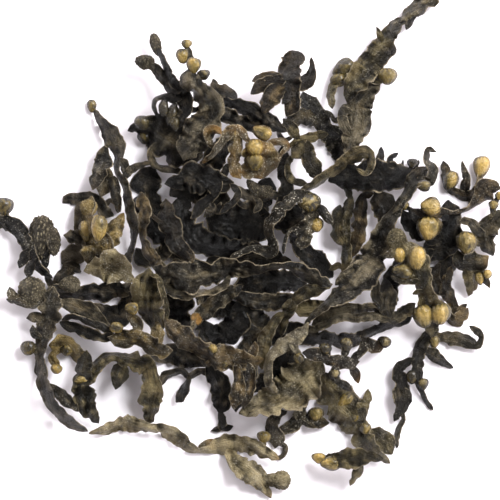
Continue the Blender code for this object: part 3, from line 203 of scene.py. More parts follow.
TOP_FRONDS = (
    Frond("upright_dark_frond", (
        strap((282, 146, 8), (283, 160, 11), (284, 172, 12), (286, 190, 14), (281, 208, 12), (276, 224, 10)),
        strap((284, 196, 8), (268, 196, 9), (254, 196, 9), (240, 192, 10), (232, 186, 8), side=-1),
        strap((254, 196, 7), (259, 205, 6), (254, 213, 4)),
        strap((242, 193, 7), (238, 201, 5), (247, 209, 4), side=-1),
    ), (
        warty(254, 188, 9, 20, -48),
        warty(265, 192, 12, 12),
    )),
    Frond("upright_olive_strap", (
        strap((352, 196, 6), (347, 210, 10), (345, 225, 9), (346, 240, 8), (347, 252, 9), (346, 266, 9),
              (342, 278, 7)),
        strap((351, 200, 6), (345, 184, 7), (334, 175, 5), side=-1),
        strap((346, 268, 6), (338, 266, 6), (329, 270, 4)),
        strap((346, 246, 8), (338, 236, 12), (337, 220, 12), (340, 205, 9)),
    ), ()),
    Frond("speckled_grey_strap", (
        strap((303, 92, 10), (305, 98, 13), (311, 107, 16), (319, 118, 16), (328, 130, 18), (338, 143, 22),
              (341, 157, 16), (340, 168, 8)),
        strap((322, 122, 11), (308, 117, 15), (296, 118, 16), (286, 122, 8), side=-1),
        strap((294, 122, 6), (282, 126, 5), (279, 133, 4), (284, 140, 4), (293, 137, 4)),
    ), ()),
    Frond("folded_olive_frond", (
        strap((288, 147, 5), (300, 141, 8), (313, 137, 9), (328, 134, 7)),
        strap((304, 140, 6), (299, 151, 15), (291, 159, 7), side=-1),
        strap((307, 140, 7), (309, 158, 14), (314, 170, 14), (318, 181, 7)),
        strap((294, 155, 6), (287, 166, 5), (292, 180, 7), (307, 184, 6), side=-1),
        strap((299, 142, 7), (292, 129, 10), (283, 119, 4)),
    ), ()),
    Frond("dark_toothed_blade", (
        strap((328, 181, 12), (340, 178, 20), (355, 176, 26), (380, 176, 28), (402, 176, 20), (416, 172, 9)),
        strap((376, 174, 9), (380, 161, 9), (381, 147, 3), side=-1),
        strap((389, 170, 8), (390, 159, 6), (398, 153, 3)),
        strap((401, 171, 6), (403, 160, 3), side=-1),
        strap((409, 173, 6), (412, 164, 5)),
        strap((413, 173, 6), (419, 160, 3)),
    ), (
        bladder(412, 163, 9, 9),
    )),
    Frond("streaked_blade", (
        strap((380, 84, 4), (368, 93, 18), (359, 105, 21), (358, 120, 24), (353, 135, 20), (350, 149, 14),
              (353, 162, 7)),
        strap((353, 112, 8), (343, 112, 9), (344, 126, 9), (351, 137, 6), side=-1),
        strap((351, 121, 6), (334, 120, 5), (330, 115, 4), (324, 111, 3)),
    ), (
        bladder(346, 110, 12, 12),
    )),
    Frond("looped_diagonal_strap", (
        strap((297, 195, 4), (315, 183, 8), (333, 171, 9), (347, 160, 12), (360, 153, 15), (369, 156, 9),
              (371, 166, 6), (364, 174, 5), (356, 169, 3)),
    ), ()),
    Frond("dark_top_straps", (
        strap((215, 95, 8), (222, 101, 8), (240, 106, 12), (255, 114, 16), (270, 123, 14), (287, 132, 9)),
        strap((213, 79, 3), (218, 90, 14), (227, 94, 13), (238, 104, 9), side=-1),
        strap((208, 110, 10), (216, 113, 12), (235, 119, 14), (256, 126, 13), (271, 126, 8)),
    ), ()),
    Frond("broad_green_blade", (
        strap((128, 131, 4), (137, 128, 12), (146, 128, 22), (158, 133, 34), (172, 143, 40), (188, 151, 34),
              (203, 157, 16)),
        strap((160, 142, 9), (151, 155, 7), (157, 167, 6), (170, 170, 6), (187, 172, 5), side=-1),
    ), (
        bladder(143, 123, 14, 14),
        bladder(145, 138, 13, 13),
    )),
    Frond("black_bud_frond", (
        strap((157, 47, 6), (160, 54, 5), (163, 58, 5), (165, 64, 5), (169, 73, 7), (175, 84, 9),
              (183, 94, 16),
              (186, 106, 14), (182, 118, 9), (178, 129, 7)),
        strap((181, 93, 8), (171, 91, 9), (168, 84, 9), (163, 77, 10), (158, 71, 9), (152, 67, 8),
              (144, 63, 5), side=-1),
        strap((183, 99, 9), (170, 99, 9), (163, 98, 5), (156, 101, 4), (154, 108, 4), (158, 115, 4),
              (165, 119, 5)),
        strap((184, 109, 8), (196, 110, 5), (205, 107, 4)),
        strap((184, 112, 8), (174, 114, 9), (164, 116, 5), side=-1),
    ), (
        warty(156, 45, 9, 22, 105),
        warty(145, 63, 15, 14),
        bladder(164, 109, 16, 10, 0),
        bladder(172, 115, 20, 12, -15),
        bladder(175, 124, 14, 10, 0),
    )),
    Frond("brown_topped_blade", (
        strap((165, 184, 5), (176, 182, 14), (190, 178, 26), (206, 180, 26), (220, 184, 18), (234, 183, 9)),
        strap((222, 181, 8), (216, 190, 10), (208, 199, 10), (198, 211, 9), (191, 219, 4), side=-1),
        strap((222, 181, 8), (225, 172, 7), (230, 163, 4)),
        strap((230, 184, 7), (238, 192, 6), (235, 200, 6), (229, 206, 6), (220, 214, 4)),
        strap((208, 200, 7), (213, 208, 8), (204, 217, 6), side=-1),
    ), ()),
    Frond("bladdered_top_strap", (
        strap((190, 70, 12), (190, 80, 18), (195, 88, 17), (203, 96, 19), (210, 104, 22), (213, 112, 24),
              (206, 123, 27), (196, 137, 27), (189, 150, 22), (184, 161, 9)),
        strap((192, 77, 10), (193, 66, 7), (189, 57, 8), (187, 46, 5), side=-1),
        strap((196, 82, 9), (204, 75, 9)),
    ), (
        bladder(187, 45, 9, 9),
        bladder(183, 57, 11, 15),
        bladder(194, 67, 12, 17),
        bladder(204, 76, 11, 11),
    )),
    Frond("crown_frond", (
        strap((291, 51, 25), (292, 58, 24), (290, 70, 20), (288, 84, 22), (290, 96, 16), (292, 106, 16),
              (286, 117, 9)),
        strap((286, 81, 12), (276, 82, 13), (263, 86, 13), (251, 95, 7), side=-1),
        strap((286, 86, 10), (274, 94, 16), (268, 104, 15), (263, 114, 9)),
        strap((292, 89, 10), (300, 86, 12), (308, 80, 13), (312, 70, 6), (311, 58, 3), side=-1),
        strap((284, 78, 8), (266, 77, 8), (252, 82, 6)),
    ), ()),
    Frond("long_top_frond", (
        strap((436, -8, 15), (426, 3, 18), (414, 10, 14), (405, 17, 9), (396, 26, 12), (388, 36, 15),
              (382, 50, 23), (373, 62, 23), (363, 73, 22), (355, 83, 20), (350, 93, 12), (347, 103, 5)),
        strap((416, 9, 7), (411, 18, 8), (406, 30, 3), side=-1),
        strap((384, 44, 8), (379, 34, 5), (376, 27, 2)),
        strap((363, 70, 12), (375, 80, 8), (386, 81, 5), side=-1),
        strap((358, 74, 9), (348, 74, 8), (338, 79, 8), (332, 88, 8), (331, 98, 8), (332, 109, 4)),
    ), (
        bladder(387, 77, 17, 17),
        bladder(343, 69, 15, 24, 35),
        bladder(338, 80, 12, 16, 20),
    )),
    Frond("bladder_plate_frond", (
        strap((256, 140, 18), (258, 148, 29), (259, 158, 32), (260, 168, 34), (262, 179, 26), cup=-0.3),
        strap((250, 143, 8), (243, 134, 8), (237, 128, 7), (231, 132, 10), (222, 143, 7), (212, 155, 5),
              (202, 164, 3), side=-1),
        strap((236, 131, 7), (236, 145, 12), (234, 160, 12), (236, 172, 11), (241, 179, 5)),
        strap((256, 170, 8), (246, 175, 8), (237, 168, 4)),
        strap((266, 144, 6), (280, 142, 7), (287, 147, 6), (282, 154, 4), (277, 162, 3), side=-1),
        strap((223, 142, 6), (214, 147, 5), (208, 140, 6), (209, 132, 8), (216, 130, 8), (222, 135, 5)),
    ), (
        bladder(255, 148, 16, 17),
        bladder(255, 163, 18, 18),
        bladder(262, 133, 13, 20, -25),
    )),
    Frond("arched_speckled_frond", (
        strap((314, 195, 8), (300, 197, 12), (289, 202, 12), (280, 210, 13), (272, 219, 11), (268, 230, 8),
              (272, 242, 9), (270, 252, 12), (258, 249, 8), (245, 251, 6), (230, 258, 4)),
        strap((303, 199, 10), (311, 210, 16), (310, 222, 12), (304, 232, 18), (302, 242, 14), (301, 250, 4),
              side=-1),
        strap((312, 205, 10), (320, 209, 8), (326, 217, 9), (333, 224, 3)),
        strap((300, 229, 6), (291, 230, 3), (285, 240, 3), (283, 254, 3)),
    ), (
        bladder(309, 203, 19, 20),
        bladder(316, 225, 13, 15),
    )),
)

RIGHT_FRONDS = (
    Frond("right_twist_frond", (
        strap((503, 210, 6), (499, 214, 9), (492, 223, 16), (486, 233, 20), (488, 246, 14), (493, 256, 5)),
        strap((486, 235, 9), (476, 230, 8), (468, 221, 9), (458, 222, 5), side=-1),
        strap((487, 241, 9), (478, 241, 9), (467, 236, 4)),
        strap((494, 218, 7), (493, 206, 6), (499, 196, 5), side=-1),
    ), (
        bladder(493, 205, 9, 9),
        bladder(499, 196, 8, 9),
    )),
    Frond("flared_bladder_frond", (
        strap((457, 250, 7), (460, 262, 15), (468, 263, 18), (478, 262, 19), (488, 256, 8)),
        strap((466, 265, 12), (470, 276, 14), (471, 287, 11), (468, 296, 4), side=-1),
        strap((473, 272, 8), (482, 276, 8), (489, 288, 4)),
        strap((463, 260, 10), (466, 246, 8), (467, 234, 5), side=-1),
    ), (
        bladder(466, 243, 18, 24),
        bladder(479, 278, 12, 9, 0),
        bladder(487, 274, 8, 9),
    )),
    Frond("claw_frond", (
        strap((443, 161, 4), (445, 170, 8), (447, 180, 8), (453, 191, 8), (467, 196, 9), (475, 191, 7),
              (479, 181, 6), (481, 172, 6), (480, 162, 5)),
        strap((466, 197, 8), (465, 188, 9), (466, 178, 7), (464, 170, 5), (462, 161, 3), side=-1),
        strap((471, 195, 6), (470, 207, 4)),
    ), (
        bladder(450, 181, 13, 21, 70),
        bladder(481, 167, 14, 23, 80),
    )),
    Frond("bladder_pair_frond", (
        strap((410, 209, 6), (417, 215, 13), (426, 217, 18), (434, 214, 12), (442, 211, 6), (451, 213, 4),
              (461, 211, 4), (470, 206, 5), (477, 199, 10), (484, 191, 21), (492, 187, 14), (500, 189, 4)),
        strap((415, 214, 6), (409, 210, 5), (403, 206, 5), side=-1),
        strap((426, 217, 14), (427, 226, 14), (426, 236, 8)),
    ), (
        bladder(430, 207, 16, 20, 0),
        bladder(428, 228, 22, 24),
        bladder(404, 206, 8, 9),
    )),
    Frond("brown_twisted_frond", (
        strap((452, 266, 6), (446, 280, 9), (447, 291, 14), (451, 301, 8), (456, 311, 9), (467, 304, 4)),
        strap((449, 293, 8), (438, 288, 12), (433, 276, 12), (440, 263, 8), side=-1),
        strap((451, 302, 6), (447, 312, 7), (454, 321, 10), (461, 317, 13), (468, 308, 4)),
    ), ()),
    Frond("lower_right_fork", (
        strap((435, 331, 7), (429, 334, 9), (424, 342, 11), (418, 354, 11), (418, 367, 11), (418, 379, 8),
              (421, 390, 5), (425, 399, 4), (433, 410, 6)),
        strap((430, 334, 8), (438, 337, 10), (450, 338, 12), (465, 341, 12), (477, 345, 7), (480, 337, 6),
              (476, 330, 7), (469, 326, 4), side=-1),
        strap((418, 347, 6), (424, 350, 7), (433, 355, 12), (442, 361, 8), (453, 368, 3)),
        strap((414, 358, 6), (404, 364, 8), (398, 370, 12), (400, 382, 14), (402, 397, 17), (401, 408, 11),
              (394, 421, 4), side=-1),
        strap((398, 404, 7), (403, 418, 4), (398, 432, 5), (397, 448, 3)),
        strap((397, 389, 9), (409, 391, 7)),
    ), (
        bladder(412, 377, 10, 14),
        bladder(423, 384, 9, 12),
        bladder(434, 342, 9, 12),
    )),
    Frond("right_core_straps", (
        strap((415, 303, 6), (404, 312, 13), (392, 318, 11), (376, 316, 8), (356, 318, 7), (338, 318, 7),
              (322, 325, 8), (309, 332, 5)),
        strap((390, 318, 8), (387, 306, 14), (388, 294, 16), (384, 278, 5), side=-1),
        strap((388, 318, 5), (381, 305, 9), (375, 292, 9), (378, 280, 4)),
        strap((384, 317, 7), (376, 308, 7), (362, 308, 9), (345, 310, 13), (328, 315, 13), (312, 325, 8),
              side=-1),
    ), ()),
)

CENTRE_FRONDS = (
    Frond("lower_centre_strap", (
        strap((229, 293, 6), (248, 299, 13), (262, 302, 15), (277, 301, 16), (291, 300, 11), (301, 305, 5)),
    ), ()),
    Frond("broken_strap", (
        strap((197, 326, 9), (200, 317, 12), (212, 306, 16), (222, 298, 14), (233, 291, 11), (243, 285, 5)),
        strap((201, 314, 7), (194, 317, 6), (193, 330, 4), side=-1),
    ), ()),
    Frond("twisted_centre_blade", (
        strap((332, 284, 5), (315, 290, 11), (303, 294, 12), (294, 300, 10), (288, 310, 12), (284, 321, 9),
              (281, 336, 3)),
        strap((291, 306, 8), (301, 307, 15), (316, 308, 15), (329, 302, 6), side=-1),
        strap((286, 313, 7), (278, 317, 8), (270, 328, 10), (264, 343, 13), (262, 358, 9), (262, 369, 4)),
    ), ()),
    Frond("long_diagonal_strap", (
        strap((428, 167, 6), (415, 178, 14), (409, 190, 10), (401, 203, 9), (394, 214, 10), (386, 226, 15),
              (379, 245, 22), (371, 261, 28), (362, 274, 28), (350, 287, 23), (338, 296, 16), (328, 303, 9),
              (315, 314, 6), (304, 325, 4)),
        strap((366, 262, 12), (352, 270, 10), (342, 278, 8), (335, 285, 4), side=-1),
        strap((417, 177, 8), (429, 182, 9), (432, 170, 9), (426, 160, 6), (428, 150, 6), (436, 152, 3)),
    ), (
        bladder(423, 186, 10, 14, 0),
    )),
    Frond("double_bladder_frond", (
        strap((387, 237, 8), (395, 240, 16), (403, 247, 16), (410, 256, 22), (416, 266, 24), (421, 278, 18),
              (424, 290, 14), (427, 300, 18), (431, 312, 24), (432, 324, 18), (431, 337, 4)),
        strap((404, 252, 10), (392, 253, 9), (383, 257, 4), side=-1),
        strap((419, 280, 7), (408, 282, 5), (398, 281, 4), (390, 276, 3)),
        strap((424, 291, 8), (418, 291, 5), (412, 294, 3), side=-1),
    ), (
        warty(395, 239, 14, 20, 60),
        bladder(399, 255, 12, 15),
        bladder(402, 272, 16, 22, -12),
        bladder(417, 258, 16, 24, 80),
        bladder(423, 316, 18, 24, 100),
        bladder(440, 313, 17, 22, 80),
    )),
)

LEFT_FRONDS = (
    Frond("paddle_strap", (
        strap((93, 108, 7), (97, 114, 6), (103, 123, 9), (109, 132, 15), (114, 139, 19), (118, 147, 14),
              (119, 156, 9), (117, 165, 6), (118, 172, 5), (122, 178, 6), (127, 190, 7), (129, 202, 9),
              (131, 213, 9), (134, 228, 10), (134, 240, 5), (130, 252, 6), (126, 262, 8), (121, 273, 6)),
        strap((120, 158, 5), (125, 165, 9), (127, 172, 9), (126, 180, 4), side=-1),
        strap((124, 179, 6), (132, 169, 7), (141, 165, 6), (152, 163, 3)),
    ), (
        bladder(92, 106, 8, 13),
    )),
    Frond("folded_tan_leaf", (
        strap((106, 145, 3), (104, 155, 12), (103, 164, 16), (100, 173, 14), (96, 181, 12), (93, 190, 7)),
        strap((105, 167, 8), (109, 173, 9), (107, 180, 14), (104, 188, 13), (101, 197, 9), side=-1),
        strap((107, 179, 7), (114, 180, 8), (115, 188, 10), (117, 200, 8), (120, 212, 6)),
    ), ()),
    Frond("left_bladder_blade", (
        strap((92, 196, 8), (90, 208, 12), (88, 218, 12), (92, 232, 18), (98, 244, 26), (96, 256, 26),
              (94, 269, 14)),
        strap((102, 247, 14), (110, 236, 22), (117, 226, 14), (124, 213, 3), side=-1),
    ), (
        warty(89, 208, 14, 16),
        bladder(87, 231, 13, 22, 95),
        bladder(100, 228, 13, 26, 85),
    )),
    Frond("left_edge_frond", (
        strap((-8, 224, 14), (8, 223, 14), (20, 230, 14), (27, 241, 14), (32, 253, 9), (37, 265, 8),
              (44, 272, 7), (53, 278, 6)),
        strap((43, 272, 7), (45, 262, 8), (43, 250, 12), (41, 238, 14), (40, 224, 8), side=-1),
        strap((8, 227, 8), (4, 214, 9), (3, 205, 7)),
        strap((30, 249, 8), (24, 258, 10), (20, 268, 7), side=-1),
        strap((34, 259, 6), (30, 268, 9), (28, 278, 5)),
    ), (
        warty(42, 238, 20, 42, 88),
        warty(53, 241, 13, 28, 97),
        bladder(3, 207, 18, 19),
    )),
    Frond("speckled_pods_frond", (
        strap((7, 299, 5), (20, 301, 8), (33, 303, 9), (45, 298, 8), (55, 288, 7), (67, 289, 7),
              (80, 285, 6)),
        strap((34, 303, 8), (32, 292, 14), (33, 283, 10), (31, 276, 5), side=-1),
        strap((21, 300, 6), (13, 295, 9), (10, 287, 4)),
    ), (
        warty(32, 292, 22, 28, 80),
        warty(70, 284, 13, 20, 0),
    )),
    Frond("wide_centre_strap", (
        strap((154, 266, 6), (162, 270, 13), (172, 273, 20), (190, 278, 30), (208, 273, 25), (228, 268, 18),
              (243, 268, 16), (256, 270, 9), (270, 267, 6), (285, 265, 6), (297, 269, 12), (312, 276, 14),
              (331, 286, 8)),
        strap((170, 277, 10), (164, 285, 7), (172, 291, 12), (182, 293, 14), (196, 293, 7), (206, 292, 5),
              (215, 291, 6), (224, 285, 7), (230, 275, 5), side=-1),
        strap((196, 292, 6), (200, 298, 7), (198, 305, 3)),
    ), ()),
    Frond("pale_diamond_blade", (
        strap((84, 271, 4), (98, 268, 20), (110, 267, 31), (122, 272, 22), (135, 282, 7)),
    ), ()),
    Frond("square_blade", (
        strap((150, 268, 8), (148, 277, 20), (147, 287, 30), (149, 298, 28), (152, 309, 24), (156, 321, 16),
              (160, 335, 8)),
        strap((151, 275, 6), (158, 277, 5), (162, 289, 5), (166, 303, 5), (166, 324, 4), side=-1),
    ), ()),
    Frond("wavy_left_frond", (
        strap((60, 322, 8), (75, 328, 10), (90, 333, 10), (105, 337, 9), (119, 335, 5)),
        strap((58, 302, 4), (75, 306, 14), (92, 314, 16), (103, 322, 9), (110, 330, 6), (114, 337, 5),
              side=-1),
        strap((62, 320, 5), (74, 316, 5), (90, 322, 6), (105, 328, 7), (114, 335, 5)),
    ), ()),
    Frond("ragged_cup_frond", (
        strap((49, 345, 9), (58, 345, 20), (66, 344, 16), (73, 348, 11), (80, 355, 14), (86, 361, 11),
              (87, 368, 5)),
        strap((58, 350, 10), (52, 356, 8), (56, 364, 7), (57, 371, 5), side=-1),
    ), (
        bladder(67, 350, 12, 12),
        bladder(57, 369, 10, 10),
    )),
    Frond("forked_lower_left_frond", (
        strap((87, 350, 6), (86, 359, 12), (83, 373, 16), (84, 390, 20), (87, 405, 19), (93, 415, 12),
              (99, 423, 4)),
        strap((85, 385, 11), (92, 374, 12), (97, 366, 11), (105, 359, 10), (116, 357, 8), (124, 359, 12),
              (133, 361, 18), (147, 367, 18), (151, 378, 15), (152, 390, 19), (150, 403, 20), (150, 416, 13),
              (148, 424, 4), side=-1),
        strap((125, 361, 12), (121, 371, 16), (118, 380, 12), (116, 389, 4)),
    ), (
        bladder(82, 380, 9, 16, 0),
    )),
    Frond("tan_twist_frond", (
        strap((108, 337, 7), (122, 339, 16), (138, 336, 13), (146, 341, 14), (152, 346, 18), (160, 350, 15),
              (173, 350, 7)),
        strap((124, 336, 9), (118, 327, 8), side=-1),
        strap((138, 335, 8), (138, 324, 10), (132, 316, 9), (132, 307, 7)),
        strap((158, 347, 10), (158, 334, 12), (158, 321, 7), side=-1),
    ), (
        bladder(117, 327, 12, 11),
        bladder(132, 308, 10, 13, 0),
    )),
    Frond("long_left_strap", (
        strap((54, 286, 8), (52, 296, 16), (51, 309, 22), (47, 325, 18), (43, 340, 14), (39, 355, 9),
              (41, 370, 12), (44, 385, 12), (50, 399, 11), (59, 412, 10), (71, 422, 10), (88, 431, 5)),
        strap((47, 383, 8), (57, 391, 9), (67, 400, 11), (79, 411, 7), side=-1),
        strap((46, 321, 10), (36, 317, 10), (27, 318, 4)),
        strap((43, 338, 8), (35, 334, 7), (33, 325, 5), side=-1),
        strap((40, 352, 6), (35, 350, 6), (29, 348, 7)),
    ), (
        bladder(29, 348, 14, 14),
    )),
)

LOWER_FRONDS = (
    Frond("mottled_diagonal_strap", (
        strap((318, 369, 8), (322, 376, 14), (330, 390, 29), (345, 407, 32), (357, 425, 26), (364, 441, 20),
              (376, 453, 11), (390, 463, 4)),
        strap((364, 436, 10), (374, 434, 14), (383, 441, 20), (392, 454, 11), side=-1),
        strap((349, 415, 10), (366, 403, 11), (368, 389, 4)),
    ), (
        bladder(345, 400, 11, 18, 40),
        bladder(357, 417, 10, 14, 30),
        bladder(365, 428, 10, 12),
    )),
    Frond("warty_lower_frond", (
        strap((287, 411, 6), (275, 418, 11), (272, 428, 11), (276, 438, 16), (275, 448, 8)),
        strap((276, 434, 9), (284, 430, 9), (293, 425, 12), (301, 419, 10), (312, 421, 12), (329, 423, 9),
              side=-1),
        strap((277, 443, 7), (285, 446, 5), (284, 455, 4), (275, 459, 4)),
        strap((299, 422, 10), (300, 406, 13), (302, 397, 6)),
    ), (
        bladder(316, 414, 14, 14),
    )),
    Frond("long_pale_leaf_frond", (
        strap((89, 433, 3), (105, 429, 9), (122, 423, 14), (138, 425, 13), (152, 428, 8), (165, 430, 12),
              (178, 438, 14), (190, 447, 9), (199, 450, 6), (208, 449, 8), (218, 446, 15), (235, 443, 18),
              (250, 446, 16), (263, 451, 12), (279, 459, 6)),
        strap((228, 447, 12), (232, 458, 12), (241, 466, 18), (254, 475, 20), (264, 485, 13), (271, 498, 3),
              side=-1),
        strap((198, 450, 5), (204, 444, 6), (213, 439, 4)),
        strap((258, 477, 10), (272, 480, 12), (287, 479, 6)),
        strap((262, 449, 6), (264, 437, 6), side=-1),
    ), (
        warty(280, 480, 15, 20, 0),
        bladder(264, 437, 12, 12),
    )),
    Frond("pale_lower_blade", (
        strap((322, 360, 12), (316, 367, 24), (302, 379, 40), (287, 392, 35), (269, 401, 25), (253, 408, 16),
              (239, 413, 8), cup=0.3),
    ), ()),
    Frond("speckled_pale_blade", (
        strap((308, 322, 4), (303, 331, 10), (290, 341, 14), (278, 348, 11), (271, 356, 8), (268, 371, 8),
              (270, 384, 8), (277, 393, 4)),
        strap((289, 342, 8), (297, 350, 7), (299, 360, 5), side=-1),
    ), (
        bladder(299, 358, 9, 11),
    )),
    Frond("warty_brown_frond", (
        strap((165, 319, 4), (176, 330, 18), (187, 339, 20), (198, 346, 15), (208, 352, 16), (219, 356, 24),
              (232, 358, 19), (242, 361, 20), (252, 361, 12), (264, 359, 4)),
        strap((235, 361, 9), (238, 373, 8), (239, 386, 12), (237, 396, 14), (234, 409, 4), side=-1),
        strap((248, 362, 8), (251, 375, 9), (249, 390, 10), (243, 409, 4)),
        strap((214, 359, 8), (206, 364, 5), (200, 358, 3), side=-1),
        strap((247, 359, 8), (254, 350, 8), (255, 341, 5)),
    ), (
        bladder(213, 349, 10, 11),
        bladder(223, 363, 9, 11, 20),
    )),
    Frond("warty_tips_frond", (
        strap((302, 352, 7), (315, 354, 12), (328, 358, 11), (343, 363, 14), (359, 361, 7)),
        strap((350, 361, 8), (360, 352, 7), (368, 343, 13), (375, 346, 12), (385, 342, 7), side=-1),
        strap((337, 362, 9), (334, 374, 8), (338, 382, 7), (345, 385, 8), (352, 391, 3)),
        strap((348, 364, 8), (355, 373, 8), (358, 383, 3), side=-1),
        strap((342, 359, 8), (345, 351, 8), (346, 341, 7)),
        strap((330, 356, 8), (325, 347, 6), side=-1),
        strap((367, 344, 8), (360, 335, 5)),
    ), (
        bladder(334, 374, 10, 10),
        bladder(346, 344, 11, 14),
        bladder(325, 348, 11, 11),
        bladder(384, 342, 12, 12),
    )),
    Frond("curled_bottom_blade", (
        strap((383, 458, 4), (367, 456, 14), (352, 458, 18), (337, 459, 14), (322, 458, 7)),
        strap((357, 457, 10), (358, 468, 9), (354, 476, 8), (350, 485, 3), side=-1),
    ), (
        bladder(330, 463, 12, 20, 0),
        bladder(319, 458, 12, 11),
    )),
)

FRONDS = LOWEST_FRONDS + TOP_FRONDS + RIGHT_FRONDS + CENTRE_FRONDS + LEFT_FRONDS + LOWER_FRONDS


def to_metres(x, y):
    """Turns a place on the plan into metres from the clump's middle, with y to the plan's top."""
    return (x - SHEET_CENTRE[0]) * SQUARE, (SHEET_CENTRE[1] - y) * SQUARE


def smooth_step(share):
    """Rises from 0 to 1 with level ends."""
    share = np.clip(share, 0.0, 1.0)
    return share * share * (3.0 - 2.0 * share)


def through_points(points, share, width=2):
    """Reads a curve through the points (Catmull-Rom on their chord lengths) at shares of its length."""
    chords = np.linalg.norm(np.diff(points[:, :width], axis=0), axis=1)
    knots = np.concatenate(([0.0], np.cumsum(chords)))
    slopes = np.empty_like(points)
    slopes[1:-1] = (points[2:] - points[:-2]) / (knots[2:] - knots[:-2])[:, None]
    slopes[0] = (points[1] - points[0]) / chords[0]
    slopes[-1] = (points[-1] - points[-2]) / chords[-1]
    along = share * knots[-1]
    piece = np.clip(np.searchsorted(knots, along, side="right") - 1, 0, len(chords) - 1)
    span = chords[piece][:, None]
    s = (along - knots[piece])[:, None] / span
    return (
        (2 * s ** 3 - 3 * s ** 2 + 1) * points[piece]
        + (s ** 3 - 2 * s ** 2 + s) * span * slopes[piece]
        + (3 * s ** 2 - 2 * s ** 3) * points[piece + 1]
        + (s ** 3 - s ** 2) * span * slopes[piece + 1]
    )


def spread(number, step):
    """Gives an even spread of values from 0 to 1, one for each number and step."""
    return (number * GOLDEN_SHARE + step * SPREAD_STEP) % 1.0


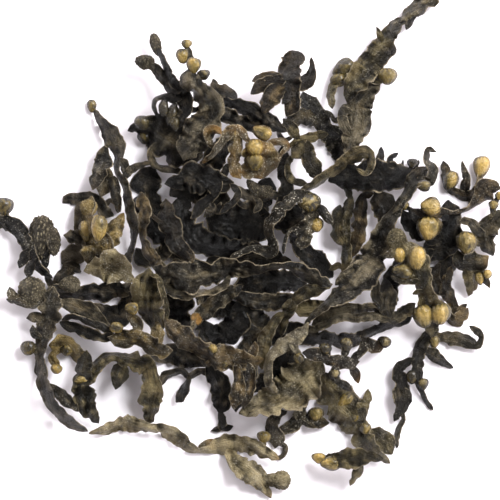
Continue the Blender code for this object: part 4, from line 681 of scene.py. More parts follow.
class Ribbon:
    """A strap as a surface of two values: t along it from 0 to 1 and u across it from -1 to 1.

    Its plan follows a smooth curve through the strap's points. Where the strap looks narrow it
    is turned on edge, by the angle whose cosine is the width seen over the full width. Its
    section is cupped with u squared, its edges wave along its length, and its middle bows.
    """

    def __init__(self, plan, number):
        metres = np.empty_like(plan.points)
        metres[:, 0], metres[:, 1] = to_metres(plan.points[:, 0], plan.points[:, 1])
        metres[:, 2] = plan.points[:, 2] * SQUARE
        self.plan = plan
        self.points = metres
        self.number = number
        self.full = metres[:, 2].max() * FLAT_WIDTH
        fine = through_points(metres, np.linspace(0.0, 1.0, LENGTH_READINGS))
        self.length = np.linalg.norm(np.diff(fine[:, :2], axis=0), axis=1).sum()
        self.root_shift = 0.0
        self.tip_shift = 0.0

    def stations(self):
        """Gives the number of stations that the strap's length asks for."""
        return max(FEWEST_STATIONS, int(round(self.length / STATION_STEP)) + 1)

    def centre(self, t):
        """Gives the middle line's plan points, widths and the plan directions across it."""
        line = through_points(self.points, t)
        before = through_points(self.points, np.clip(t - AIM_STEP, 0.0, 1.0))
        after = through_points(self.points, np.clip(t + AIM_STEP, 0.0, 1.0))
        along = after[:, :2] - before[:, :2]
        along /= np.linalg.norm(along, axis=1)[:, None]
        across = np.stack((-along[:, 1], along[:, 0]), axis=1)
        return line[:, :2], np.maximum(line[:, 2], 2 * SQUARE), across

    def half_widths(self, t, widths):
        """Gives the half width to the right and left, held back on the inside of a tight bend."""
        steps = [np.clip(t + k * BEND_STEP, 0.0, 1.0) for k in (-1, 0, 1)]
        lines = [through_points(self.points, step)[:, :2] for step in steps]
        first = lines[1] - lines[0]
        second = lines[2] - lines[1]
        cross = first[:, 0] * second[:, 1] - first[:, 1] * second[:, 0]
        dot = (first * second).sum(axis=1)
        bend = np.arctan2(cross, dot)
        run = 0.5 * (np.linalg.norm(first, axis=1) + np.linalg.norm(second, axis=1))
        limit = INNER_BEND_SHARE * run / np.maximum(np.abs(bend), LEAST_BEND)
        half = widths / 2
        left = np.where(bend > 0, np.minimum(half, limit), half)
        right = np.where(bend < 0, np.minimum(half, limit), half)
        return right, left

    def surface(self, t, u):
        """Gives the surface points for every t and every u, before the frond is laid."""
        line, widths, across = self.centre(t)
        right, left = self.half_widths(t, widths)
        run = t * self.length
        ends = smooth_step(np.minimum(run, self.length - run) / TURN_FADE)
        turn = np.arccos(np.clip(widths / self.full, math.cos(WIDEST_TURN), 1.0)) * ends * self.plan.side
        half = np.where(u[None, :] < 0, right[:, None], left[:, None])
        offset = half * u[None, :]
        cup = self.plan.cup
        if cup is None:
            cup = CUP_SHARE * (2 * spread(self.number, 1) - 1)
        phases = 2 * math.pi * np.where(u < 0, spread(self.number, 2), spread(self.number, 3))
        wave = np.sin(2 * math.pi * run[:, None] / EDGE_WAVE_LENGTH + phases[None, :])
        wave = wave * np.abs(u[None, :]) ** EDGE_WAVE_POWER * EDGE_WAVE_SHARE * self.plan.wave
        bow = BOW_HEIGHT * self.plan.bow * np.sin(2 * math.pi * (run / BOW_LENGTH + spread(self.number, 4)))
        height = offset * np.tan(turn)[:, None] + half * (cup * u[None, :] ** 2 + wave) + bow[:, None]
        if self.plan.flat:
            height = np.zeros_like(height)
        height = height + (self.root_shift * (1 - smooth_step(run / ROOT_REACH)))[:, None]
        height = height + (self.tip_shift * (1 - smooth_step((self.length - run) / ROOT_REACH)))[:, None]
        places = np.empty(height.shape + (3,))
        places[..., :2] = line[:, None, :] + offset[..., None] * across[:, None, :]
        places[..., 2] = height
        return places

    def height_at(self, place):
        """Gives the height of the faceted strap nearest to a plan place, and how far off it lies."""
        rows = self.surface(np.linspace(0.0, 1.0, self.stations()), np.array([-1.0, 0.0, 1.0]))
        along = np.linspace(0.0, len(rows) - LAST_ROW_GAP, ROW_READINGS)
        row = along.astype(int)
        rows = rows[row] + (along - row)[:, None, None] * (rows[row + 1] - rows[row])
        share = np.linspace(0.0, 1.0, HALF_READINGS)[None, :, None]
        halves = [rows[:, k:k + 1] * (1 - share) + rows[:, k + 1:k + 2] * share for k in (0, 1)]
        grid = np.concatenate(halves, axis=1).reshape(-1, 3)
        off = np.linalg.norm(grid[:, :2] - place, axis=1)
        nearest = off.argmin()
        return grid[nearest, 2], off[nearest]

    def solid(self):
        """Gives the strap's corners and triangles: three points across, two faces, blunt edges."""
        t = np.linspace(0.0, 1.0, self.stations())
        u = np.array([-1.0, 0.0, 1.0])
        middle = self.surface(t, u)
        normal = np.cross(np.gradient(middle, axis=0), np.gradient(middle, axis=1))
        normal /= np.linalg.norm(normal, axis=2)[..., None]
        if self.plan.flat:
            normal[...] = (0.0, 0.0, 1.0)
        rib = MIDRIB_HEIGHT * smooth_step(np.minimum(t, 1 - t) * self.length / TURN_FADE)
        over = middle + normal * (BLADE_THICKNESS / 2)
        under = middle - normal * (BLADE_THICKNESS / 2)
        over[:, 1] += normal[:, 1] * rib[:, None]
        if self.full < STALK_WIDTH:
            ring = np.stack((middle[:, 0], over[:, 1], middle[:, 2], under[:, 1]), axis=1)
        else:
            ring = np.concatenate((over, under[:, ::-1]), axis=1)
        return facing_out(ring.reshape(-1, 3), tube_faces(len(t), ring.shape[1]))


def tube_faces(stations, sides):
    """Gives the triangles of a tube of rings with a fan at each end.

    Each cell is split along one diagonal, or along the other beside the midrib.
    """
    a = np.arange(sides)
    here = sides * np.arange(stations - 1)[:, None]
    near, next_near = here + a, here + (a + 1) % sides
    far, next_far = near + sides, next_near + sides
    slant = np.isin(a, (1, sides // 2 + 1))[None, :, None]
    one_way = np.stack((near, far, next_near, next_near, far, next_far), axis=-1)
    other_way = np.stack((near, far, next_far, near, next_far, next_near), axis=-1)
    cells = np.where(slant, one_way, other_way).reshape(-1, 3)
    k = np.arange(1, sides - 1)
    last = sides * (stations - 1)
    caps = np.stack((0 * k, k, k + 1, 0 * k + last, last + k + 1, last + k), axis=-1).reshape(-1, 3)
    return np.concatenate((cells, caps))


def facing_out(corners, faces):
    """Turns all triangles over if they enclose less than nothing, so that they face outwards."""
    a, b, c = (corners[faces[:, k]] for k in range(3))
    if (np.cross(a, b) * c).sum() < 0:
        faces = faces[:, ::-1]
    return corners, faces


def pod_solid(pod, order, ribbons):
    """Gives the corners and triangles of a bladder or fruiting tip seated in its strap."""
    x, y = to_metres(pod.x, pod.y)
    heights = [ribbon.height_at((x, y)) for ribbon in ribbons]
    height = min(heights, key=lambda pair: pair[1])[0]
    wide, long = pod.wide * SQUARE / 2, pod.long * SQUARE / 2
    deep = min(wide, long) * pod.depth
    small = int(max(wide, long) < SMALL_POD / 2)
    shape = bmesh.new()
    bmesh.ops.create_uvsphere(
        shape, u_segments=POD_SEGMENTS - small, v_segments=POD_RINGS, radius=1.0,
        matrix=Matrix.Translation((x, y, height + POD_RISE * deep))
        @ Matrix.Rotation(math.radians(pod.turn), 4, "Z")
        @ Matrix.Diagonal(Vector((long, wide, deep, 1.0)))
        @ Matrix.Rotation(math.radians(90), 4, "Y")
        @ Matrix.Rotation(POD_ROLL * (order + 1), 4, "Z"),
    )
    bmesh.ops.triangulate(shape, faces=shape.faces)
    corners = np.array([tuple(v.co) for v in shape.verts])
    faces = np.array([[v.index for v in face.verts] for face in shape.faces])
    shape.free()
    return facing_out(corners, faces)


def frond_solids(frond, first_number):
    """Gives a frond's straps and its plain solids, with every branch pinned to the strap it grows from."""
    ribbons = []
    for order, plan in enumerate(frond.straps):
        ribbon = Ribbon(plan, first_number + order)
        if ribbons:
            for end in (0, -1):
                height, off = min((r.height_at(ribbon.points[end, :2]) for r in ribbons), key=lambda p: p[1])
                if off < SQUARE * PIN_REACH:
                    own = ribbon.surface(np.array([float(end != 0)]), np.array([0.0]))[0, 0, 2]
                    if end == 0:
                        ribbon.root_shift = height - own - ROOT_SINK
                    else:
                        ribbon.tip_shift = height - own - ROOT_SINK
        ribbons.append(ribbon)
    solids = [ribbon.solid() for ribbon in ribbons]
    solids.extend(pod_solid(pod, order, ribbons) for order, pod in enumerate(frond.pods))
    return ribbons, solids


class Bed:
    """The surface and all that has been laid on it, as a grid of the highest points so far."""

    def __init__(self):
        self.count = int(round(2 * REACH / CELL))
        self.top = np.zeros((self.count, self.count))
        steps = np.arange(LATTICE + 1)
        first, second = np.meshgrid(steps, steps, indexing="ij")
        inside = first + second <= LATTICE
        a = first[inside] / LATTICE
        b = second[inside] / LATTICE
        self.weights = np.stack((a, b, 1 - a - b), axis=1)

    def cells(self, places):
        """Gives the grid cell of each plan place."""
        index = np.floor((places[..., :2] + REACH) / CELL).astype(int)
        return np.clip(index, 0, self.count - 1)

    def widened(self):
        """Gives the grid with every cell as high as its highest neighbour."""
        high = np.pad(self.top, 1)
        shifts = [high[i:i + self.count, j:j + self.count] for i in range(3) for j in range(3)]
        return np.max(shifts, axis=0)

    def lay(self, corners, faces):
        """Lifts a frond's corners so that it rests on the bed, then adds it to the bed.

        The lift needed at each point of the frond is spread to the rest of it as a stiff
        strap's sag: it falls off with the distance d as h * (sqrt(1 + (d / l) ** 2) - 1).
        """
        samples = np.einsum("kc,fcx->fkx", self.weights, corners[faces]).reshape(-1, 3)
        cell = self.cells(samples)
        bed = self.widened()[cell[:, 0], cell[:, 1]]
        needed = np.where(bed > 0, bed + GAP, 0.0) - samples[:, 2]
        key = cell[:, 0] * self.count + cell[:, 1]
        order = np.lexsort((-needed, key))
        chosen = order[np.unique(key[order], return_index=True)[1]]
        spots = samples[chosen, :2]
        wants = needed[chosen]
        off = np.linalg.norm(corners[:, None, :2] - spots[None, :, :], axis=2)
        sag = DROOP_HEIGHT * (np.sqrt(1 + (off / DROOP_LENGTH) ** 2) - 1)
        for _ in range(SETTLE_ROUNDS):
            lift = (wants[None, :] - sag).max(axis=1)
            have = np.einsum("kc,fc->fk", self.weights, lift[faces]).reshape(-1)
            short = needed - have
            wants = wants + np.maximum(short[chosen], 0.0)
        lift += short.max()
        floor_short = (-corners[:, 2] - lift).max()
        lift += max(floor_short, 0.0)
        laid = corners.copy()
        laid[:, 2] += lift
        high = np.einsum("kc,fc->fk", self.weights, laid[:, 2][faces]).reshape(-1)
        np.maximum.at(self.top, (cell[:, 0], cell[:, 1]), high)
        return laid


# The fine skin's grid, its thickness, and its rounded ends
STRAP_SEED = 1000
POD_SEED = 5000
FINE_STEP = 0.0008
FEWEST_ROWS = 14
ACROSS_STEP = 0.0006
FEWEST_ACROSS = 9
MOST_ACROSS = 21
SKIN_THICKNESS = 0.00058
MARGIN_THINNING = 0.6
RIB_WIDTH = 0.0008
RIB_FADE = 0.6
END_REACH = 0.0030
END_SHARE = 0.9
END_LEAST = 0.02
END_POWER = 0.62
FLOOR_GAP = 0.00002
HIGHEST = 0.0257
SHORTEST = 1e-12

# Seeded uneven waves: how many sines, and the ranges of their lengths and sizes
WAVE_COUNT = 6
WAVE_LENGTHS = (0.55, 1.8)
WAVE_SIZES = (0.5, 1.0)
WAVE_GAIN = 1.6
FOLD_SHARPNESS = 0.985
START_ANGLES = (0, 6)

# Margins: a slow wobble, blunt teeth, narrow tears, and ruffles that grow towards them
MARGIN_MEAN = 1.15
MARGIN_WOBBLE = 0.08
WOBBLE_LENGTH = 0.0085
MARGIN_TEETH = 0.105
TEETH_LENGTH = 0.0048
TEETH_SHIFT = 0.5
TEETH_SHIFT_LENGTH = 0.009
TEAR_SPACING = 0.0095
TEAR_WIDTH = 0.0008
TEAR_WIDTHS = (0.7, 2.2)
TEAR_DEPTH = 0.55
TEAR_DEPTHS = (0.2, 1.0)
RUFFLE_SHARE = 0.62
RUFFLE_LENGTH = 0.0060
RUFFLE_POWER = 2.3

# Relief: lengthwise wrinkles and ridges, buckles, creases across the strap, and one fold along it
DRIFT_LENGTH = 0.012
WRINKLE_HEIGHT = 0.00016
WRINKLE_SPACING = 0.0013
WRINKLE_PATCH = 0.020
WRINKLE_SWAY = 2.2
FINE_WRINKLE = 0.7
FINE_WRINKLE_SPACING = 0.62 * WRINKLE_SPACING
FINE_WRINKLE_SWAY = 3.1
RIDGE = 1.3
RIDGE_SPACING = 2.3 * WRINKLE_SPACING
RIDGE_PATCH = 0.016
RIDGE_SWAY = 0.5
BUCKLE_HEIGHT = 0.00090
BUCKLE_LENGTH = 0.0060
BUCKLE_SLANTS = (0.9, 0.35)
CREASE_HEIGHT = 0.00085
CREASE_SPACING = 0.0052
CREASE_PATCH = 0.011
CREASE_MIDDLE = 0.35
CREASE_SLANT = 0.8
CREASE_SHIFT = 0.7
SLANT_LENGTH = 0.015
BEND_SHARE = 0.56
BEND_DRIFT = 0.40
BEND_DRIFT_LENGTH = 0.018
BEND_LENGTH = 0.026
SIDE_DRIFT = 0.00022
SIDE_DRIFT_LENGTH = 0.009
# The relief over this scale also colours the strap: painted shade in its hollows and painted highlight on its
# ridges
CREST_SCALE = 0.00110

# What the finish reads: how tone and warmth change along a strap
TONE_SPREAD = 0.60
TONE_DRIFT = 0.35
TONE_LENGTH = 0.018
POD_TONE_SPREAD = 0.5
TIP_WARMTH = 0.12
WARM_REACH = 0.0035
ROOT_PLACE = 0.0024
ROOT_SPAN = 0.0018
STREAK_SHIFT = 0.13
STREAK_SHIFTS = 17
POD_STREAK_SHIFT = 0.31

# Bladders and warty tips
POD_ROWS = 20
POD_COLUMNS = 28
POD_RIM = 0.20
POD_RIM_WIDTH = 0.20
POD_TAPER = (0.10, 0.34)
POD_DENT = 0.110
DENT_COUNT = 7
DENT_SIZE = 0.5
POD_PLEATS = 1.3
PLEAT_COUNT = 9
PLEAT_TWIST = 3
WART_ROWS = 48
WART_COLUMNS = 72
WART_COUNT = 240
WART_SIZE = 0.105
WART_HEIGHT = 0.15
WART_FLOOR = 0.25
SPOT_DRIFT = 0.05
GOLDEN_TURN = math.pi * (3.0 - math.sqrt(5.0))

SHADE_FACTS = ("margin", "tone", "crest", "swell", "wart", "warm", "pale", "speckle", "rim", "gold")
UV_SCALE = 100.0
POLE_MERGE = 1e-7

# A frond's own looks: how light it is (lower for most of the lowest fronds, as painted shade), its warmth,
# pale dust, salt specks, pale margin (partly dry, partly painted highlight), golden bladders and rusty root
Marks = namedtuple(
    "Marks", "tone warm pale speckle rim gold root", defaults=(0.0, 0.0, 0.0, 0.0, 0.4, 0.6, 0.0),
)


def uneven(run, length, rng):
    """Gives a seeded uneven wave along a run: a sum of sines of about the given wavelength."""
    waves = length * rng.uniform(*WAVE_LENGTHS, WAVE_COUNT)
    phases = rng.uniform(0.0, 2 * math.pi, WAVE_COUNT)
    sizes = rng.uniform(*WAVE_SIZES, WAVE_COUNT)
    total = (np.sin(2 * math.pi * run[..., None] / waves + phases) * sizes).sum(axis=-1)
    return total / sizes.sum() * WAVE_GAIN


def folds(phase):
    """Rises and falls between -1 and 1 in straight flanks with sharp tops, as creased leather does."""
    return 2 / math.pi * np.arcsin(np.sin(2 * math.pi * phase) * FOLD_SHARPNESS)


def margin_shape(run, length, rng):
    """Gives one margin's share of the half width along a strap.

    It wobbles, has blunt teeth with sharp corners, and is torn here and there: each tear is a
    narrow dip depth * exp(-((run - place) / width) ** 2).
    """
    shape = MARGIN_MEAN + MARGIN_WOBBLE * uneven(run, WOBBLE_LENGTH, rng)
    shift = TEETH_SHIFT * uneven(run, TEETH_SHIFT_LENGTH, rng)
    shape = shape + MARGIN_TEETH * folds(run / TEETH_LENGTH + shift)
    places = rng.uniform(0.0, length, max(1, int(length / TEAR_SPACING)))
    depths = TEAR_DEPTH * rng.uniform(*TEAR_DEPTHS, len(places))
    widths = TEAR_WIDTH * rng.uniform(*TEAR_WIDTHS, len(places))
    dips = depths * np.exp(-((run[:, None] - places) / widths) ** 2)
    return shape - dips.max(axis=1)


def round_ends(run, length, widths):
    """Narrows a strap's ends to blunt points: (d / r) ** power at the distance d from the end."""
    share = np.ones_like(run)
    for off, width in ((run, widths[0]), (length - run, widths[-1])):
        reach = min(END_REACH, width * END_SHARE)
        share = share * np.clip(off / reach, END_LEAST, 1.0) ** END_POWER
    return share


def laid_height(ribbon, ring, t, u):
    """Gives the laid height of a strap's middle surface.

    It is a parabola in u through the heights at u of -1, 0 and 1. Each of these is read along a
    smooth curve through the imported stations, where a blunt edge's height is the mean of its corners.
    """
    rows = ring.reshape(ribbon.stations(), -1, 3)[..., 2]
    pairs = ((0, 0), (1, 3), (2, 2)) if rows.shape[1] == 4 else ((0, 5), (1, 4), (2, 3))
    levels = np.stack([(rows[:, over] + rows[:, under]) / 2 for over, under in pairs], axis=1)
    stops = np.concatenate((np.linspace(0.0, ribbon.length, len(levels))[:, None], levels), axis=1)
    low, middle, high = through_points(stops, t, width=1)[:, 1:].T[..., None]
    return middle + (high - low) / 2 * u + ((high + low) / 2 - middle) * u ** 2


def leather_relief(run, u, half, offset, rng):
    """Gives the dried leather's relief at each distance along a strap and offset from its middle line.

    Wrinkles and ridges are waves of the offset that come and go along the strap. Buckles are the
    product of two slanted uneven waves. Creases are sharp folds across the strap, bent back with
    the offset. The lengthwise fold is a share of the half width times |u - place| - 0.5.
    """
    drift = uneven(run, DRIFT_LENGTH, rng)
    start = rng.uniform(*START_ANGLES)
    wrinkles = np.sin(2 * math.pi * offset / WRINKLE_SPACING + WRINKLE_SWAY * drift + start)
    fine = np.sin(2 * math.pi * offset / FINE_WRINKLE_SPACING - FINE_WRINKLE_SWAY * drift)
    buckles = uneven(run + BUCKLE_SLANTS[0] * offset, BUCKLE_LENGTH, rng)
    buckles = buckles * uneven(offset - BUCKLE_SLANTS[1] * run, BUCKLE_LENGTH, rng)
    slant = uneven(run, SLANT_LENGTH, rng)
    creases = folds((run + CREASE_SLANT * slant * np.abs(offset)) / CREASE_SPACING + CREASE_SHIFT * slant)
    creases = creases * (CREASE_MIDDLE + (1 - CREASE_MIDDLE) * np.abs(u))
    creases = creases * (0.5 + 0.5 * uneven(run, CREASE_PATCH, rng))
    ridges = folds(offset / RIDGE_SPACING + RIDGE_SWAY * drift) * uneven(run, RIDGE_PATCH, rng)
    lines = (wrinkles + FINE_WRINKLE * fine + RIDGE * ridges) * uneven(run, WRINKLE_PATCH, rng)
    bend = np.abs(u - BEND_DRIFT * uneven(run, BEND_DRIFT_LENGTH, rng)) - 0.5
    fold = uneven(run, BEND_LENGTH, rng) * half * BEND_SHARE * bend
    return WRINKLE_HEIGHT * lines + BUCKLE_HEIGHT * buckles + CREASE_HEIGHT * creases + fold


def two_faces(places, thick, rib):
    """Gives the upper and under face of a middle surface, half its thickness off along its normal.

    The midrib stands on the upper face. Rows that would pass the table or the top of the clump
    are moved back.
    """
    normal = np.cross(np.gradient(places, axis=0), np.gradient(places, axis=1))
    normal *= np.where(normal[..., 2:] < 0, -1.0, 1.0)
    normal /= np.maximum(np.linalg.norm(normal, axis=2), SHORTEST)[..., None]
    over = places + normal * (thick / 2 + rib)[..., None]
    under = places - normal * (thick / 2)[..., None]
    lift = np.maximum(FLOOR_GAP - np.minimum(under[..., 2], over[..., 2]), 0.0)
    lift = lift - np.maximum(np.maximum(under[..., 2], over[..., 2]) - HIGHEST, 0.0)
    over[..., 2] += lift
    under[..., 2] += lift
    return over, under


def rings_closed(rows, width):
    """Gives the quads of a tube of closed rings, each an upper and an under row, with its two caps."""
    size = 2 * width
    here = np.arange(rows - 1)[:, None] * size + np.arange(size)
    ahead = here + size
    sides = np.stack((here, np.roll(here, -1, 1), np.roll(ahead, -1, 1), ahead), axis=-1).reshape(-1, 4)
    k = np.arange(width - 1)
    cap = np.stack((k, size - 1 - k, size - 2 - k, k + 1), axis=-1)
    return np.concatenate((sides, cap, cap[:, ::-1] + (rows - 1) * size))


def facts_over(shape, **facts):
    """Spreads each fact over all points of a skin, row after row."""
    return {name: np.broadcast_to(fact, shape).reshape(-1) for name, fact in facts.items()}


def strap_skin(ribbon, ring, marks):
    """Gives a strap's fine skin: rows of points t along it, each a closed ring of over and under side.

    The plan place is the middle line plus u times the half width, which the margins' shape and the
    rounded ends change. The height is the laid height, plus a ruffle that grows with a power of u,
    plus the leather's relief. The thickness falls with u squared, and the midrib is
    height * exp(-(offset / width) ** 2).
    """
    rng = np.random.default_rng(STRAP_SEED + ribbon.number)
    rows = max(FEWEST_ROWS, int(round(ribbon.length / FINE_STEP)) + 1)
    width = int(np.clip(ribbon.full / ACROSS_STEP, FEWEST_ACROSS, MOST_ACROSS)) // 2 * 2 + 1
    t = np.linspace(0.0, 1.0, rows)
    u = np.sin(np.linspace(-math.pi / 2, math.pi / 2, width))
    run = t * ribbon.length
    column = run[:, None]

    line, widths, across = ribbon.centre(t)
    right, left = ribbon.half_widths(t, widths)
    ends = round_ends(run, ribbon.length, widths)
    right = right * ends * margin_shape(run, ribbon.length, rng)
    left = left * ends * margin_shape(run, ribbon.length, rng)
    half = np.where(u < 0, right[:, None], left[:, None])
    offset = half * u

    calm = smooth_step(np.minimum(column, ribbon.length - column) / TURN_FADE) * (not ribbon.plan.flat)
    height = laid_height(ribbon, ring, t, u)
    for side in (-1, 1):
        ruffle = uneven(column, RUFFLE_LENGTH, rng) * half * RUFFLE_SHARE
        height = height + calm * ruffle * np.clip(side * u, 0.0, 1.0) ** RUFFLE_POWER
    relief = leather_relief(column, u, half, offset, rng)
    # The relief as a colour share: painted shade in the hollows, painted highlight on the ridges
    crest = np.clip(relief / CREST_SCALE, -1.0, 1.0)
    aside = SIDE_DRIFT * uneven(column, SIDE_DRIFT_LENGTH, rng) * calm
    places = np.empty(height.shape + (3,))
    places[..., :2] = line[:, None, :] + (offset + aside)[..., None] * across[:, None, :]
    places[..., 2] = height + calm * relief
    thick = SKIN_THICKNESS * (1 - MARGIN_THINNING * u ** 2)
    rib = MIDRIB_HEIGHT * np.exp(-(offset / RIB_WIDTH) ** 2) * (1 - RIB_FADE * t)[:, None] * calm
    over, under = two_faces(places, thick, rib)
    points = np.concatenate((over, under[:, ::-1]), axis=1)

    margin = np.abs(np.concatenate((u, u[::-1])))
    tone = marks.tone + TONE_SPREAD * (2 * spread(ribbon.number, 5) - 1)
    tone = tone + TONE_DRIFT * uneven(column, TONE_LENGTH, rng)
    warm = marks.warm + TIP_WARMTH * np.exp(-((ribbon.length - column) / WARM_REACH) ** 2)
    warm = warm + marks.root * np.exp(-((column - ROOT_PLACE) / ROOT_SPAN) ** 2) * (1 - margin ** 2)
    facts = facts_over(
        points.shape[:2], margin=margin, tone=tone, swell=0.0, wart=0.0, warm=warm, pale=marks.pale,
        speckle=marks.speckle, rim=marks.rim, gold=marks.gold,
        crest=np.concatenate((crest, -crest[:, ::-1]), axis=1),
        across=np.concatenate((offset, offset[:, ::-1]), axis=1),
        along=column + STREAK_SHIFT * (ribbon.number % STREAK_SHIFTS),
    )
    return points.reshape(-1, 3), rings_closed(rows, width), facts


def globe(rows, columns):
    """Gives the two angles of a globe's points and its quads.

    The first and last row lie at the poles, where all of a row's points are one place.
    """
    polar = np.linspace(0.0, math.pi, rows)[:, None] + np.zeros(columns)
    turn = np.zeros((rows, 1)) + np.linspace(0.0, 2 * math.pi, columns, endpoint=False)
    here = np.arange(rows - 1)[:, None] * columns + np.arange(columns)
    ahead = np.roll(here, -1, 1)
    quads = np.stack((here, ahead, ahead + columns, here + columns), axis=-1)
    return polar, turn, quads.reshape(-1, 4)


def off_spots(way, count, rng):
    """Gives each way's angle off a number of spots, spread evenly on a spiral and each a little astray."""
    k = np.arange(count) + 0.5
    tall = 1 - 2 * k / count
    turn = GOLDEN_TURN * k + rng.uniform(*START_ANGLES)
    round_it = np.sqrt(1 - tall ** 2)
    spots = np.stack((tall, round_it * np.cos(turn), round_it * np.sin(turn)), axis=-1)
    spots = spots + rng.normal(0, SPOT_DRIFT, spots.shape)
    spots /= np.linalg.norm(spots, axis=1)[:, None]
    return np.arccos(np.clip(way @ spots.T, -1, 1))


def warts(way, rng):
    """Gives round warts from 0 to 1: size * exp(-(angle off the wart / width) ** 2), the highest of all."""
    angle = off_spots(way, WART_COUNT, rng)
    return (np.exp(-(angle / WART_SIZE) ** 2) * rng.uniform(*WAVE_SIZES, WART_COUNT)).max(axis=-1)


def dents(way, polar, turn, rng):
    """Gives a bladder's wide dents and swellings, with pleats from pole to pole.

    A dent is size * exp(-(angle off it / width) ** 2). The pleats are
    sin(count * turn + twist * cos(polar)) * sin(polar) * cos(polar) ** 2.
    """
    angle = off_spots(way, DENT_COUNT, rng)
    wide = (np.exp(-(angle / DENT_SIZE) ** 2) * rng.uniform(-1.0, 1.0, DENT_COUNT)).sum(axis=-1)
    pleats = np.sin(PLEAT_COUNT * turn + PLEAT_TWIST * np.cos(polar) + rng.uniform(*START_ANGLES))
    return wide + POD_PLEATS * pleats * np.sin(polar) * np.cos(polar) ** 2


def pod_skin(pod, order, seat, marks):
    """Gives a bladder's or warty tip's fine skin about its seat.

    It is an egg, its width times 1 plus a taper with the cosine of the polar angle, with a rim
    exp(-(b / w) ** 2) where the strap's two faces part round it. A bladder has shallow dents and
    pleats, a warty tip has warts.
    """
    rng = np.random.default_rng(POD_SEED + int(pod.x * 7 + pod.y * 13))
    is_warty = pod.depth == WARTY_DEPTH
    polar, turn, quads = globe(*((WART_ROWS, WART_COLUMNS) if is_warty else (POD_ROWS, POD_COLUMNS)))
    flat_side = np.minimum(np.abs(np.sin(turn)), 1.0)
    egg = np.sin(polar) * (1 + rng.uniform(*POD_TAPER) * np.cos(polar))
    egg = egg * (1 + POD_RIM * np.exp(-(flat_side / POD_RIM_WIDTH) ** 2))
    unit = np.stack((np.cos(polar), egg * np.cos(turn), egg * np.sin(turn)), axis=-1)
    way = unit / np.linalg.norm(unit, axis=-1)[..., None]
    bumps = warts(way, rng) if is_warty else dents(way, polar, turn, rng)
    swell = 1 + (WART_HEIGHT if is_warty else POD_DENT) * bumps

    wide, long = pod.wide * SQUARE / 2, pod.long * SQUARE / 2
    local = unit * swell[..., None] * (long, wide, min(wide, long) * pod.depth)
    x, y = to_metres(pod.x, pod.y)
    cosine, sine = math.cos(math.radians(pod.turn)), math.sin(math.radians(pod.turn))
    points = np.empty_like(local)
    points[..., 0] = x + local[..., 0] * cosine - local[..., 1] * sine
    points[..., 1] = y + local[..., 0] * sine + local[..., 1] * cosine
    lowest, highest = local[..., 2].min(), local[..., 2].max()
    points[..., 2] = min(max(seat, FLOOR_GAP - lowest), HIGHEST - highest) + local[..., 2]
    # A bladder's dents and swellings also go into its colour, as painted shade in the dents and painted
    # highlight on the swellings
    facts = facts_over(
        polar.shape, margin=1 - np.sin(polar) * flat_side,
        tone=marks.tone + POD_TONE_SPREAD * rng.uniform(-1, 1), swell=float(not is_warty),
        wart=WART_FLOOR + (1 - WART_FLOOR) * bumps if is_warty else 0.0,
        crest=0.0 if is_warty else np.clip(bumps, -1.0, 1.0),
        warm=marks.warm, pale=marks.pale, gold=marks.gold, speckle=marks.speckle, rim=0.0,
        across=local[..., 1], along=local[..., 0] + POD_STREAK_SHIFT * (order + 1),
    )
    return points.reshape(-1, 3), quads, facts


def facing_out_quads(points, quads):
    """Turns all quads over if they enclose less than nothing."""
    a, b, c, d = (points[quads[:, k]] for k in range(4))
    volume = (np.cross(a, b) * c).sum() + (np.cross(a, c) * d).sum()
    return quads if volume > 0 else quads[:, ::-1]


def skin_object(name, skins):
    """Makes one mesh of all of a frond's skins.

    Its facts are point attributes. Its UV is the offset across and the run along each strap.
    """
    starts = np.cumsum([0] + [len(points) for points, _, _ in skins])
    points = np.concatenate([points for points, _, _ in skins])
    turned = [facing_out_quads(own, quads) for own, quads, _ in skins]
    quads = np.concatenate([own + start for own, start in zip(turned, starts)])
    facts = {key: np.concatenate([own[key] for _, _, own in skins]) for key in skins[0][2]}
    mesh = bpy.data.meshes.new(name)
    mesh.vertices.add(len(points))
    mesh.vertices.foreach_set("co", points.astype(np.float32).reshape(-1))
    mesh.loops.add(quads.size)
    mesh.loops.foreach_set("vertex_index", quads.astype(np.int32).reshape(-1))
    mesh.polygons.add(len(quads))
    mesh.polygons.foreach_set("loop_start", np.arange(0, quads.size, 4, dtype=np.int32))
    mesh.update(calc_edges=True)
    for key in SHADE_FACTS:
        mesh.attributes.new(key, "FLOAT", "POINT").data.foreach_set("value", facts[key].astype(np.float32))
    uv = np.stack((facts["across"], facts["along"]), axis=1)[quads.reshape(-1)] * UV_SCALE
    mesh.uv_layers.new(name="strap").data.foreach_set("uv", uv.astype(np.float32).reshape(-1))
    shape = bmesh.new()
    shape.from_mesh(mesh)
    bmesh.ops.remove_doubles(shape, verts=shape.verts, dist=POLE_MERGE)
    shape.to_mesh(mesh)
    shape.free()
    mesh.shade_smooth()
    piece = bpy.data.objects.new(name, mesh)
    bpy.context.scene.collection.objects.link(piece)
    return piece


# Colours of dust, salt, pale margins (dry, and partly painted highlight on curled edges), moss, rust and
# bladders (with a painted highlight), in linear light
DUST = (0.2160, 0.1900, 0.1360)
SALT = (0.6600, 0.6200, 0.5200)
MOSS = (0.0420, 0.0330, 0.0070)
MARGIN_TAN_AND_HIGHLIGHT = (0.2900, 0.2400, 0.1600)
WART_TAN = (0.4200, 0.3600, 0.2300)
RUST = (0.3300, 0.1750, 0.0430)
SEPIA = (0.0638, 0.0435, 0.0158)
BLADDER_DARK = (0.0154, 0.0115, 0.0038)
BLADDER_OLIVE = (0.1300, 0.0930, 0.0200)
BLADDER_LIGHT = (0.4300, 0.2850, 0.0700)
BLADDER_PAINTED_HIGHLIGHT = (0.6600, 0.5200, 0.2400)
